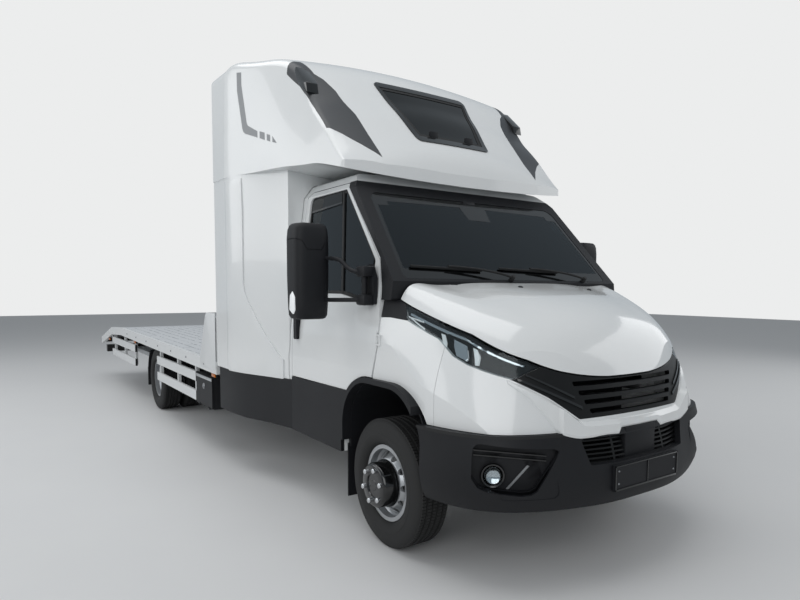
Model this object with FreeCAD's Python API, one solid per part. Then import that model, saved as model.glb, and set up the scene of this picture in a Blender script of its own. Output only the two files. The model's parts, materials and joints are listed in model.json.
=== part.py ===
import FreeCAD, Part
import math
import os
from collections import namedtuple

from FreeCAD import Vector

# Car transporter truck: a cab with a sleeper pod, and a flat deck with a sloping tail.
# Millimetres, X forward, Y to the left, Z up from the ground.
# Everything is drawn with x = 0 at the front axle; save() moves it so that x = 0 is the
# middle of the overall length.

# Overall sizes
OVERALL_LENGTH = 9600
FRONT_OVERHANG = 1080
WHEELBASE = 5100
CAB_HALF_WIDTH = 1003
DECK_HALF_WIDTH = 1200
POD_HALF_WIDTH = 1198
POD_TOP_Z = 3250
TAIL_X = FRONT_OVERHANG - OVERALL_LENGTH

# Clearances
SHUT_GAP = 6
FIT_GAP = 0.5
SEAT_GAP = 0.3
OFFCUT_VOLUME = 60000

# Wheels
TYRE_RADIUS = 372
TYRE_WIDTH = 225
RIM_SEAT_RADIUS = 203
FLANGE_RADIUS = 220
FLANGE_HALF = 84
RIM_WALL = 6
FRONT_TRACK_HALF = 862
REAR_OUTER_Y = 985
TWIN_SPACING = 262
HUB_COVER_RADIUS = 126
HUB_COVER_REACH = 173
HUB_RECESS_RADIUS = 68
DISC_FACE = 84
STUB_RADIUS = 32
VENT_COUNT = 10
VENT_RADIUS = 17
VENT_CIRCLE = 146
FRONT_VENT_RADIUS = 20
FRONT_VENT_CIRCLE = 158

# Steering and front suspension
KINGPIN_Y = 770
STEER_ARM = 150
BALL_DROP = 140
KINGPIN_RADIUS = 12
BEAM_HALF_DEPTH = 80
BEAM_Z = (270, 400)
COLUMN_RADIUS = 28
RACK_Z = 330
RACK_RADIUS = 14

# Ladder frame
FRAME_HALF_WIDTH = 430
FRAME_TOP_Z = 700
FRAME_DEPTH = 180
FRAME_WEB = 8
FRAME_FLANGE = 70
FRAME_REAR_X = -7450
FRONT_RAIL_TOP_Z = 640
FRONT_RAIL_DEPTH = 150
FRONT_RAIL_X = 560
FRAME_STEP_X = (-1350, -1750)

# Rear axle
AXLE_TUBE_RADIUS = 60
SPINDLE_RADIUS = 44
DIFF_RADIUS = 165
SPRING_Y = 500
SPRING_WIDTH = 70
SPRING_LENGTH = 1300

# Cab
CAB_REAR_X = -1300
FIREWALL_X = -15
CAB_FLOOR_Z = 700
CAB_SKIN = 60
PILLAR_COVER = 12
GLASS = 6
SCREEN_THICKNESS = 9
DOOR_BELT_Z = 1449
DOOR_THICKNESS = 90
DOOR_FRAME_THICKNESS = 46
DOOR_BOTTOM_Z = 470
DOOR_REAR_X = -1195
CLADDING_TOP_Z = 855
CLADDING_DEPTH = 18
ARCH_REAR_X = -402
ARCH_FRONT_X = 420
ARCH_TOP_Z = 945
ARCH_RADIUS = 290
FLARE_WIDTH = 30
LINER_INNER_Y = 520
HINGE_X = -25
HINGE_Y = 996
HINGE_PIN_RADIUS = 3.5
HINGE_LUG = 10
HINGE_LUG_Z = (1168, 1222)
COWL_X = 84
COWL_BASE_Z = 1426

# Nose
PANEL = 26
NOSE_REAR_X = -84
BONNET_REAR_X = 100
BONNET_GAP = 8
BONNET_HINGE = (106, 1516)
BONNET_HINGE_Y = 530
WING_SEAM_X = 466
BUMPER_TOP_Z = 792
BUMPER_BOTTOM_Z = 408
BUMPER_WALL = 34
LEDGE_Z = 606
INTAKE_HALF = 425
SLOT_COUNT = 4
SLOT_LOW_Z = 868
SLOT_PITCH = 46
SLOT_HALF = 330
SLOT_SPREAD = 26
SLOT_HEIGHT = 24
MESH_DEPTH = 8
MESH_BAY = 208

# Pod
POD_REAR_X = -2330
POD_FRONT_X = -428
POD_INNER_FRONT_X = -545
POD_SPLIT_Z = 2362
POD_SPLIT_STEP = 5
POD_BASE_Z = 828
POD_WALL = 38
POD_CREASE_X = -2050
POD_MEET_X = -1238

# Deck
DECK_FRONT_X = -2335
DECK_BREAK_X = -6750
DECK_FRONT_Z = 855
DECK_BREAK_Z = 905
TAIL_BREAK_X = -7550
TAIL_BREAK_Z = 870
TAIL_Z = 660
RAIL_HEIGHT = 108
RAIL_WIDTH = 46
FLOOR_DROP = 10
FLOOR_THICKNESS = 28
CROSS_DEPTH = 62
CROSS_WIDTH = 45
CROSS_COUNT = 13

# Side fittings
GUARD_Y = 1168
GUARD_THICKNESS = 24
GUARD_HEIGHT = 92
POST_WIDTH = 40
BOX_FRONT_X = -2580
BOX_LENGTH = 500
BOX_Z = (398, 687)
BOX_DEPTH = 420
BOX_WALL = 5
LID_THICKNESS = 16
LID_PIN_RADIUS = 3


def box(x_range, y_range, z_range):
    """A block between three pairs of limits, given in any order."""
    low = [min(pair) for pair in (x_range, y_range, z_range)]
    size = [max(pair) - min(pair) for pair in (x_range, y_range, z_range)]
    return Part.makeBox(size[0], size[1], size[2], Vector(*low))


def in_xz(a, b):
    return Vector(a, 0, b)


def in_xy(a, b):
    return Vector(a, b, 0)


def in_yz(a, b):
    return Vector(0, a, b)


def outline(points, lift):
    """A closed wire; a point's third value is the radius of its corner."""
    edges = []
    corners = []
    for index, point in enumerate(points):
        corner = lift(point[0], point[1])
        radius = point[2] if len(point) > 2 else 0
        if not radius:
            corners.append((corner, corner))
            continue
        after = points[(index + 1) % len(points)]
        back = (lift(points[index - 1][0], points[index - 1][1]) - corner).normalize()
        ahead = (lift(after[0], after[1]) - corner).normalize()
        half = back.getAngle(ahead) / 2
        start = corner + back * (radius / math.tan(half))
        end = corner + ahead * (radius / math.tan(half))
        middle = corner + (back + ahead).normalize() * (radius / math.sin(half) - radius)
        edges.append((len(corners), Part.Arc(start, middle, end).toShape()))
        corners.append((start, end))
    arcs = dict(edges)
    wire = []
    for index, (start, end) in enumerate(corners):
        if index in arcs:
            wire.append(arcs[index])
        ahead = corners[(index + 1) % len(corners)][0]
        if (ahead - end).Length > 1e-6:
            wire.append(Part.makeLine(end, ahead))
    return Part.Wire(wire)


def prism_y(points, y_from, y_to):
    """A side outline (x, z) drawn out across the width."""
    face = Part.Face(outline(points, in_xz))
    face.translate(Vector(0, y_from, 0))
    return face.extrude(Vector(0, y_to - y_from, 0))


def prism_z(points, z_from, z_to):
    """A plan outline (x, y) drawn out in height."""
    face = Part.Face(outline(points, in_xy))
    face.translate(Vector(0, 0, z_from))
    return face.extrude(Vector(0, 0, z_to - z_from))


def prism_x(points, x_from, x_to):
    """A front outline (y, z) drawn out along the length."""
    face = Part.Face(outline(points, in_yz))
    face.translate(Vector(x_from, 0, 0))
    return face.extrude(Vector(x_to - x_from, 0, 0))


def rod(start, end, radius):
    """A round bar between two points."""
    line = Vector(*end) - Vector(*start)
    return Part.makeCylinder(radius, line.Length, Vector(*start), line)


def mirrored(shape):
    """The same piece on the other side of the truck."""
    return shape.mirror(Vector(0, 0, 0), Vector(0, 1, 0))


def both_sides(shape):
    return [shape, mirrored(shape)]


def fused(shapes):
    first = shapes[0]
    if len(shapes) > 1:
        first = first.fuse(shapes[1:])
    return first.removeSplitter()


def solids_of(shapes):
    """Every solid of one shape or a list, as a flat list."""
    if not isinstance(shapes, (list, tuple)):
        shapes = [shapes]
    found = []
    for shape in shapes:
        found.extend(solids_of(shape) if isinstance(shape, (list, tuple)) else shape.Solids)
    return found


def without_offcuts(shape):
    """The solids of a cut shape, less the slivers that are no real piece."""
    return [solid for solid in shape.Solids if solid.Volume > OFFCUT_VOLUME]


def save(node, shapes):
    """Moves a piece to the middle of the overall length and writes its file."""
    solids = solids_of(shapes)
    if not solids:
        raise ValueError("nothing was made for " + node)
    piece = Part.Compound(solids) if len(solids) > 1 else solids[0].copy()
    piece.translate(Vector(OVERALL_LENGTH / 2 - FRONT_OVERHANG, 0, 0))
    piece.exportStep("parts/" + node + ".step")
    print(node, len(solids), [round(value) for value in (
        piece.BoundBox.XMin, piece.BoundBox.XMax, piece.BoundBox.YMin,
        piece.BoundBox.YMax, piece.BoundBox.ZMin, piece.BoundBox.ZMax)], piece.isValid())


def turned(profile, x, z):
    """A ring about a cross axle, from points (across, radius)."""
    face = Part.Face(outline(profile, in_yz))
    ring = face.revolve(Vector(0, 0, 0), Vector(0, 1, 0), 360)
    ring.translate(Vector(x, 0, z))
    return ring


# Wheels

def tyre(x, y):
    """A road tyre whose middle plane is at y."""
    half = TYRE_WIDTH / 2
    bead = FLANGE_HALF - RIM_WALL + SEAT_GAP
    right = [(bead - 2, RIM_SEAT_RADIUS + SEAT_GAP), (bead - 2, FLANGE_RADIUS + 4),
             (half - 6, FLANGE_RADIUS + 22), (half, TYRE_RADIUS - 95), (half - 5, TYRE_RADIUS - 42),
             (half - 22, TYRE_RADIUS - 9), (half - 40, TYRE_RADIUS)]
    left = [(-across, radius) for across, radius in reversed(right)]
    ring = turned(right + left, x, TYRE_RADIUS)
    ring.translate(Vector(0, y, 0))
    return ring


def barrel():
    """The rim's well and flanges, as a closed outline about the middle plane."""
    inner = RIM_SEAT_RADIUS - RIM_WALL
    well = inner - 16
    lip = FLANGE_HALF - RIM_WALL
    return [(-FLANGE_HALF, FLANGE_RADIUS), (-FLANGE_HALF, inner), (-40, inner), (-20, well),
            (20, well), (40, inner), (FLANGE_HALF, inner), (FLANGE_HALF, FLANGE_RADIUS),
            (lip, FLANGE_RADIUS), (lip, RIM_SEAT_RADIUS), (46, RIM_SEAT_RADIUS),
            (26, well + RIM_WALL), (-26, well + RIM_WALL), (-46, RIM_SEAT_RADIUS),
            (-lip, RIM_SEAT_RADIUS), (-lip, FLANGE_RADIUS)]


def vents(disc, z, circle, radius):
    """Round air holes through a wheel disc whose axle is at height z."""
    holes = []
    for index in range(VENT_COUNT):
        angle = 2 * math.pi * (index + 0.5) / VENT_COUNT
        start = Vector(circle * math.sin(angle), -TYRE_WIDTH, z + circle * math.cos(angle))
        holes.append(Part.makeCylinder(radius, 2 * TYRE_WIDTH, start, Vector(0, 1, 0)))
    return disc.cut(holes)


def front_rim(side_y):
    """A steel wheel whose disc bulges outwards, with its recessed hub cover."""
    well = RIM_SEAT_RADIUS - RIM_WALL - 16
    face = DISC_FACE
    back = DISC_FACE - 8
    dish = [(-12, well + 2), (8, well + 2), (30, 178, 10), (face - 10, 142, 14), (face, 120), (face, 0),
            (back, 0), (back, 112), (back - 10, 134, 14), (20, 168, 12), (-12, well - 8)]
    rim = HUB_COVER_RADIUS
    cover = [(face, 0), (face, rim + 10), (face + 12, rim + 8), (face + 22, rim + 2),
             (HUB_COVER_REACH - 12, rim, 8), (HUB_COVER_REACH, rim - 14),
             (HUB_COVER_REACH, HUB_RECESS_RADIUS + 2), (HUB_COVER_REACH - 8, HUB_RECESS_RADIUS - 2),
             (HUB_COVER_REACH - 8, 0)]
    disc = vents(turned(dish, 0, TYRE_RADIUS), TYRE_RADIUS, FRONT_VENT_CIRCLE, FRONT_VENT_RADIUS)
    hub = turned([(-40, 70), (face, 70), (face, 0), (60, 0), (60, STUB_RADIUS + FIT_GAP),
                  (-40, STUB_RADIUS + FIT_GAP)], 0, TYRE_RADIUS)
    wheel = fused([turned(barrel(), 0, TYRE_RADIUS), disc, hub, turned(cover, 0, TYRE_RADIUS)])
    wheel.translate(Vector(0, side_y, 0))
    return wheel


def rear_rims():
    """Twin steel wheels bolted back to back, on one drum."""
    well = RIM_SEAT_RADIUS - RIM_WALL - 16
    reach = TWIN_SPACING / 2
    dish = [(12, well + 3), (-14, well + 3), (-52, well - 1), (-94, 170, 12), (-reach, 132, 14),
            (-reach, 60), (-reach + 8, 60), (-reach + 13, 126, 14), (-86, 161, 12),
            (-48, well - 9), (12, well - 7)]
    outer = fused([turned(barrel(), 0, 0), vents(turned(dish, 0, 0), 0, VENT_CIRCLE, VENT_RADIUS)])
    inner = outer.mirror(Vector(0, 0, 0), Vector(0, 1, 0))
    outer.translate(Vector(0, REAR_OUTER_Y, 0))
    inner.translate(Vector(0, REAR_OUTER_Y - TWIN_SPACING, 0))
    face = REAR_OUTER_Y - reach
    bore = SPINDLE_RADIUS + FIT_GAP
    drum = turned([(face - 170, bore), (face - 170, 118, 10), (face - 8, 118), (face - 8, 60 - SEAT_GAP),
                   (face + 8, 60 - SEAT_GAP), (face + 8, 98), (face + 50, 90, 6), (face + 90, 62, 10),
                   (face + 98, 0), (face + 78, 0), (face + 78, bore)], 0, 0)
    wheel = [outer, inner, drum]
    for piece in wheel:
        piece.translate(Vector(-WHEELBASE, 0, TYRE_RADIUS))
    return wheel


def make_wheels():
    """Front singles and rear twins on both sides."""
    single = tyre(0, FRONT_TRACK_HALF)
    rim = front_rim(FRONT_TRACK_HALF)
    twins = [tyre(-WHEELBASE, REAR_OUTER_Y), tyre(-WHEELBASE, REAR_OUTER_Y - TWIN_SPACING)]
    rims = rear_rims()
    save("tyre_front_left", single)
    save("tyre_front_right", mirrored(single))
    save("rim_front_left", rim)
    save("rim_front_right", mirrored(rim))
    save("tyres_rear_left", twins)
    save("tyres_rear_right", [mirrored(one) for one in twins])
    save("rims_rear_left", rims)
    save("rims_rear_right", [mirrored(one) for one in rims])


# Steering and front suspension

def knuckle():
    """The upright that turns on two ball joints, with its stub axle and steering arm."""
    hub_face = FRONT_TRACK_HALF - 46
    upright = box((-30, 30), (KINGPIN_Y - 24, KINGPIN_Y + 14),
                  (TYRE_RADIUS - BALL_DROP + 14, TYRE_RADIUS + BALL_DROP - 14))
    flange = Part.makeCylinder(78, 30, Vector(0, KINGPIN_Y, TYRE_RADIUS), Vector(0, 1, 0))
    stub = Part.makeCylinder(STUB_RADIUS, FRONT_TRACK_HALF + 56 - KINGPIN_Y,
                             Vector(0, KINGPIN_Y, TYRE_RADIUS), Vector(0, 1, 0))
    arm_z = RACK_Z + RACK_RADIUS + FIT_GAP
    arm = prism_z([(0, KINGPIN_Y - 30), (0, KINGPIN_Y + 14), (-60, KINGPIN_Y - 10),
                   (-STEER_ARM, KINGPIN_Y - 12), (-STEER_ARM - 22, KINGPIN_Y - 35, 12),
                   (-STEER_ARM, KINGPIN_Y - 58), (-60, KINGPIN_Y - 46)], arm_z, arm_z + 22)
    shield = Part.makeCylinder(150, 4, Vector(0, hub_face - 22, TYRE_RADIUS), Vector(0, 1, 0))
    kingpin = Part.makeCylinder(KINGPIN_RADIUS, 2 * BALL_DROP + 24,
                                Vector(0, KINGPIN_Y, TYRE_RADIUS - BALL_DROP - 12))
    return fused([upright, flange, stub, arm, shield, kingpin])


def wishbone(z, inner_y, half_base):
    """A flat arm from two frame pivots to the ball joint at the upright."""
    tip = KINGPIN_Y - 2
    plate = prism_z([(-half_base, inner_y), (half_base, inner_y), (26, tip - 20),
                     (24, tip + 14, 10), (-24, tip + 14, 10), (-26, tip - 20)], z - 12, z + 12)
    gap = prism_z([(-half_base + 60, inner_y + 40, 15), (half_base - 60, inner_y + 40, 15),
                   (0, tip - 110, 12)], z - 20, z + 20)
    bore = Part.makeCylinder(KINGPIN_RADIUS + FIT_GAP, 60, Vector(0, KINGPIN_Y, z - 30))
    return plate.cut(gap).cut(bore)


def make_front_suspension():
    """Cross beam under the engine, two wishbones a side, and the rack housing."""
    low = TYRE_RADIUS - BALL_DROP
    high = TYRE_RADIUS + BALL_DROP
    pieces = []
    beam = prism_x([(-FRAME_HALF_WIDTH, BEAM_Z[1] + 90), (-360, BEAM_Z[0], 40),
                    (360, BEAM_Z[0], 40), (FRAME_HALF_WIDTH, BEAM_Z[1] + 90),
                    (300, BEAM_Z[1] + 90), (280, BEAM_Z[1], 30), (-280, BEAM_Z[1], 30),
                    (-300, BEAM_Z[1] + 90)], -BEAM_HALF_DEPTH, BEAM_HALF_DEPTH)
    pieces.append(beam)
    for z, inner in ((low, 330), (high, 460)):
        arm = wishbone(z, inner, 150).cut(box((-400, 400), (-900, 900), (z + 40, z + 900)))
        pieces += both_sides(arm)
    housing = rod((-STEER_ARM, -260, RACK_Z), (-STEER_ARM, 260, RACK_Z), RACK_RADIUS + 16)
    bore = rod((-STEER_ARM, -300, RACK_Z), (-STEER_ARM, 300, RACK_Z), RACK_RADIUS + FIT_GAP)
    lugs = [box((-STEER_ARM, 0), (side * 200, side * 160), (RACK_Z - 24, RACK_Z + 30))
            for side in (1, -1)]
    carried = fused(pieces + [housing] + lugs).cut(bore)
    post = fused([carried] + both_sides(rod((0, 468, low), (0, 468, high + 60), 34)))
    save("front_suspension", post)


def make_steering():
    """Knuckles on their kingpins and the rack bar that links them."""
    left = knuckle()
    save("knuckle_left", left)
    save("knuckle_right", mirrored(left))
    end = KINGPIN_Y - 35
    eye_low = RACK_Z - RACK_RADIUS + 3
    eye = Part.makeCylinder(20, 2 * RACK_RADIUS - 6, Vector(-STEER_ARM, end, eye_low))
    bar = rod((-STEER_ARM, -end, RACK_Z), (-STEER_ARM, end, RACK_Z), RACK_RADIUS)
    save("track_rod", fused([bar, eye, mirrored(eye)]))


# Ladder frame and running gear

def channel(x_from, x_to, top_z, depth):
    """One side rail, a channel open to the middle of the truck."""
    outer = FRAME_HALF_WIDTH
    inner = outer - FRAME_FLANGE
    return prism_x([(outer, top_z), (outer, top_z - depth), (inner, top_z - depth),
                    (inner, top_z - depth + FRAME_WEB), (outer - FRAME_WEB, top_z - depth + FRAME_WEB),
                    (outer - FRAME_WEB, top_z - FRAME_WEB), (inner, top_z - FRAME_WEB),
                    (inner, top_z)], x_from, x_to)


def frame_step():
    """The sloping length of side rail between the low front and the high rear."""
    outer = FRAME_HALF_WIDTH
    inner = outer - FRAME_FLANGE
    front_x, rear_x = FRAME_STEP_X
    front_low = FRONT_RAIL_TOP_Z - FRONT_RAIL_DEPTH
    rear_low = FRAME_TOP_Z - FRAME_DEPTH
    web = prism_y([(front_x, FRONT_RAIL_TOP_Z), (rear_x, FRAME_TOP_Z), (rear_x, rear_low),
                   (front_x, front_low)], outer - FRAME_WEB, outer)
    top = prism_y([(front_x, FRONT_RAIL_TOP_Z), (rear_x, FRAME_TOP_Z),
                   (rear_x, FRAME_TOP_Z - FRAME_WEB), (front_x, FRONT_RAIL_TOP_Z - FRAME_WEB)],
                  inner, outer)
    low = prism_y([(front_x, front_low + FRAME_WEB), (rear_x, rear_low + FRAME_WEB),
                   (rear_x, rear_low), (front_x, front_low)], inner, outer)
    return [web, top, low]


def make_frame():
    """Two side rails joined by tubes and cross channels."""
    front_x, rear_x = FRAME_STEP_X
    rail = [channel(front_x, FRONT_RAIL_X, FRONT_RAIL_TOP_Z, FRONT_RAIL_DEPTH),
            channel(FRAME_REAR_X, rear_x, FRAME_TOP_Z, FRAME_DEPTH)] + frame_step()
    pieces = rail + [mirrored(one) for one in rail]
    inside = FRAME_HALF_WIDTH - FRAME_WEB
    for x in (-1900, -3000, -4300, -5900, -6700, FRAME_REAR_X + 60):
        z = FRAME_TOP_Z - FRAME_WEB
        pieces.append(box((x - 40, x + 40), (-inside, inside), (z - 90, z - 82)))
        pieces.append(box((x - 40, x - 34), (-inside, inside), (z - 90, z)))
    low = FRONT_RAIL_TOP_Z - FRONT_RAIL_DEPTH
    pieces.append(box((FRONT_RAIL_X - 60, FRONT_RAIL_X), (-inside, inside), (low, low + 60)))
    pieces.append(box((-1260, -1180), (-inside, inside), (FRONT_RAIL_TOP_Z - 40, FRONT_RAIL_TOP_Z)))
    beam = box((FRONT_RAIL_X, FRONT_RAIL_X + 60), (-620, 620), (low - 10, low + 120))
    pieces.append(beam)
    pieces += pod_bolsters()
    cans = [box((FRONT_RAIL_X + 60, 1200), (side * 360, side * 440), (500, 590)) for side in (1, -1)]
    behind = bumper_volume(BUMPER_WALL)
    save("chassis_frame", fused(pieces + [can.common(behind) for can in cans]))


def pod_bolsters():
    """Cross bars on the side rails that carry the pod's floor."""
    pieces = []
    for x in (-1560, -2180):
        pieces.append(box((x, x - 60), (-900, 900), (POD_BASE_Z - 50, POD_BASE_Z)))
        for side in (1, -1):
            foot = (side * (FRAME_HALF_WIDTH - FRAME_FLANGE), side * FRAME_HALF_WIDTH)
            pieces.append(box((x, x - 60), foot, (650, POD_BASE_Z - 50)))
    return pieces


def leaf_spring():
    """A stack of curved leaves with an eye at each end and its shackle bracket."""
    top_z = FRAME_TOP_Z - FRAME_DEPTH
    seat = TYRE_RADIUS + AXLE_TUBE_RADIUS
    y_from = SPRING_Y - SPRING_WIDTH / 2
    y_to = SPRING_Y + SPRING_WIDTH / 2
    middle = -WHEELBASE
    leaves = []
    for index, share in enumerate((1.0, 0.78, 0.56, 0.34)):
        half = SPRING_LENGTH * share / 2
        low = seat + 12 * (3 - index)
        rise = 46 * share * share
        arc = Part.Arc(Vector(middle - half, y_from, low + rise), Vector(middle, y_from, low),
                       Vector(middle + half, y_from, low + rise)).toShape()
        upper = arc.copy()
        upper.translate(Vector(0, 0, 12))
        ends = [Part.makeLine(arc.Vertexes[0].Point, upper.Vertexes[0].Point),
                Part.makeLine(arc.Vertexes[-1].Point, upper.Vertexes[-1].Point)]
        face = Part.Face(Part.Wire(Part.__sortEdges__([arc, upper] + ends)))
        leaves.append(face.extrude(Vector(0, SPRING_WIDTH, 0)))
    brackets = []
    for sign in (1, -1):
        x = middle + sign * SPRING_LENGTH / 2
        eye_z = seat + 36 + 46
        brackets.append(rod((x, y_from, eye_z), (x, y_to, eye_z), 26))
        brackets.append(prism_y([(x - 60, top_z), (x + 60, top_z), (x + 22, eye_z - 24, 10),
                                 (x - 22, eye_z - 24, 10)], y_from, y_from + 10))
        brackets.append(box((x - 60, x + 60), (FRAME_HALF_WIDTH - 40, y_from + 10),
                            (top_z - 14, top_z)))
    clamp = box((middle - 70, middle + 70), (y_from - 8, y_to + 8), (seat - 6, seat + 62))
    return fused(leaves + brackets + [clamp])


def make_rear_axle():
    """Axle tube with its drive housing, on a leaf spring each side."""
    face = REAR_OUTER_Y - TWIN_SPACING / 2
    inboard = face - 176
    tube = rod((-WHEELBASE, -inboard, TYRE_RADIUS), (-WHEELBASE, inboard, TYRE_RADIUS),
               AXLE_TUBE_RADIUS)
    spindle = rod((-WHEELBASE, -face - 70, TYRE_RADIUS), (-WHEELBASE, face + 70, TYRE_RADIUS),
                  SPINDLE_RADIUS)
    bell = turned([(-150, 0), (-150, 70), (-70, DIFF_RADIUS, 30), (70, DIFF_RADIUS, 30),
                   (150, 70), (150, 0)], -WHEELBASE, TYRE_RADIUS)
    nose = rod((-WHEELBASE, 0, TYRE_RADIUS), (-WHEELBASE + 300, 0, TYRE_RADIUS + 8), 62)
    spring = leaf_spring()
    save("rear_axle", fused([tube, spindle, bell, nose, spring, mirrored(spring)]))


def make_powertrain():
    """Engine as a plain block, gearbox, and a two-piece prop shaft."""
    engine = prism_y([(20, 470), (440, 470), (480, 560), (480, 1010, 60), (420, 1120, 40),
                      (20, 1120, 40)], -260, 260)
    gearbox = prism_y([(20, 420), (20, 760), (FIREWALL_X + 4, 760), (FIREWALL_X + 4, 630),
                       (-700, 560), (-700, 470), (-300, 420)], -150, 150)
    first = rod((-690, 0, 515), (-2900, 0, 500), 42)
    second = rod((-2900, 0, 500), (-WHEELBASE + 308, 0, TYRE_RADIUS + 12), 42)
    joint = Part.makeSphere(70, Vector(-2900, 0, 500))
    hanger = box((-2960, -2900), (-(FRAME_HALF_WIDTH - FRAME_WEB), FRAME_HALF_WIDTH - FRAME_WEB),
                 (FRAME_TOP_Z - 150, FRAME_TOP_Z - 120))
    strap = box((-2960, -2900), (-60, 60), (490, FRAME_TOP_Z - 120))
    mounts = [box((250, 330), (side * 250, side * (FRAME_HALF_WIDTH - FRAME_WEB)), (540, 600))
              for side in (1, -1)]
    save("powertrain", fused([engine, gearbox, first, second, joint, hanger, strap] + mounts))


def make_tank_and_exhaust():
    """Fuel tank on the left rail, silencer and pipe on the right."""
    tank = prism_y([(-1850, 650, 40), (-2500, 650, 40), (-2500, 400, 60), (-1850, 400, 60)],
                   470, 860)
    straps = [box((x, x + 40), (FRAME_HALF_WIDTH, 866), (396, 402)) for x in (-2000, -2380)]
    hangers = [box((x, x + 40), (FRAME_HALF_WIDTH, 470), (400, 660)) for x in (-2000, -2380)]
    silencer = rod((-1900, -640, 470), (-2500, -640, 470), 110)
    front_pipe = [rod((-300, -300, 450), (-1500, -300, 420), 32),
                  Part.makeSphere(32, Vector(-1500, -300, 420)),
                  rod((-1500, -300, 420), (-1900, -640, 470), 32)]
    tail_pipe = [rod((-2500, -640, 470), (-3600, -560, 440), 32),
                 Part.makeSphere(32, Vector(-3600, -560, 440)),
                 rod((-3600, -560, 440), (-4000, -900, 400), 32)]
    carriers = [box((x, x + 30), (-FRAME_HALF_WIDTH, -660), (572, 590)) for x in (-2000, -2400)]
    save("tank_and_exhaust", [fused([tank] + straps + hangers),
                              fused([silencer] + front_pipe + tail_pipe + carriers)])


# Cab

def cab_cross(inset):
    """Front view of the cab body, from the sill to the roof."""
    wide = CAB_HALF_WIDTH - inset
    top = 2262 - inset
    half = [(wide - 14, 440), (wide, 870), (wide, 1010), (wide - 8, 1200, 600),
            (wide - 38, DOOR_BELT_Z), (wide - 123, 2130), (wide - 200, 2230 - inset, 60), (320, top)]
    other = [(-point[0],) + tuple(point[1:]) for point in reversed(half)]
    return half + other


def cab_side(inset):
    """Side view of the cab body: bulkhead, roof, windscreen, cowl and firewall."""
    lean = inset * 1.45
    return [(CAB_REAR_X + inset, CAB_FLOOR_Z - 60 + inset), (CAB_REAR_X + inset, 2300 - inset),
            (-700, 2300 - inset), (-640, 2262 - inset, 150), (-505 - lean, 2165),
            (COWL_X - lean, 1524 + (93 - COWL_X) * 641 / 598), (COWL_X - inset, 1430 + inset, 20),
            (FIREWALL_X - inset, 1340 + inset, 20), (FIREWALL_X - inset, CAB_FLOOR_Z - 60 + inset)]


def cab_volume(inset):
    """The whole cab body, shrunk by the inset on every side."""
    across = CAB_HALF_WIDTH + 200
    side = prism_y(cab_side(inset), -across, across)
    return side.common(prism_x(cab_cross(inset), CAB_REAR_X - 100, 300))


def arch(offset, y_from, y_to):
    """The wheel opening in the body side, grown by the offset."""
    return prism_y([(ARCH_REAR_X - offset, 0), (ARCH_REAR_X - offset, ARCH_TOP_Z + offset,
                                                ARCH_RADIUS + offset),
                    (ARCH_FRONT_X + offset, ARCH_TOP_Z + offset, ARCH_RADIUS + offset),
                    (ARCH_FRONT_X + offset, 0)], y_from, y_to)


def door_cutter(gap, y_from, y_to):
    """The door's side outline grown by the gap, drawn out across the width."""
    edge = [(DOOR_REAR_X, DOOR_BOTTOM_Z), (DOOR_REAR_X, DOOR_BELT_Z), (-1168, 2162, 60), (-592, 2162, 30),
            (-86, 1656), (-40, 1500), (-13, 1200), (-72, 985), (-72, 700), (-300, DOOR_BOTTOM_Z)]
    face = Part.Face(outline(edge, in_xz))
    if gap:
        face = face.makeOffset2D(gap)
    face.translate(Vector(0, y_from, 0))
    return face.extrude(Vector(0, y_to - y_from, 0))


def hinge_lugs(radius, spare):
    """Round plates about the door's hinge line, grown in height by the spare."""
    return [Part.makeCylinder(radius, HINGE_LUG + 2 * spare, Vector(HINGE_X, HINGE_Y, z - spare))
            for z in HINGE_LUG_Z]


def window_outline(gap):
    """Side view of the door's window, shrunk by the gap."""
    return [(-1142 + gap, DOOR_BELT_Z + 6 + gap, 20), (-1118 + gap, 2118 - gap, 45),
            (-585, 2122 - gap, 18), (-128 - gap, 1655, 30), (-150 - gap, 1400 + gap, 20),
            (-520, DOOR_BELT_Z + 6 + gap)]


def screen_outline(gap):
    """Front view of the windscreen, shrunk by the gap."""
    half = [(870 - gap, 1548 + gap, 30), (806 - gap, 2098 - gap, 70)]
    return half + [(-y, z, r) for y, z, r in reversed(half)]


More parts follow.
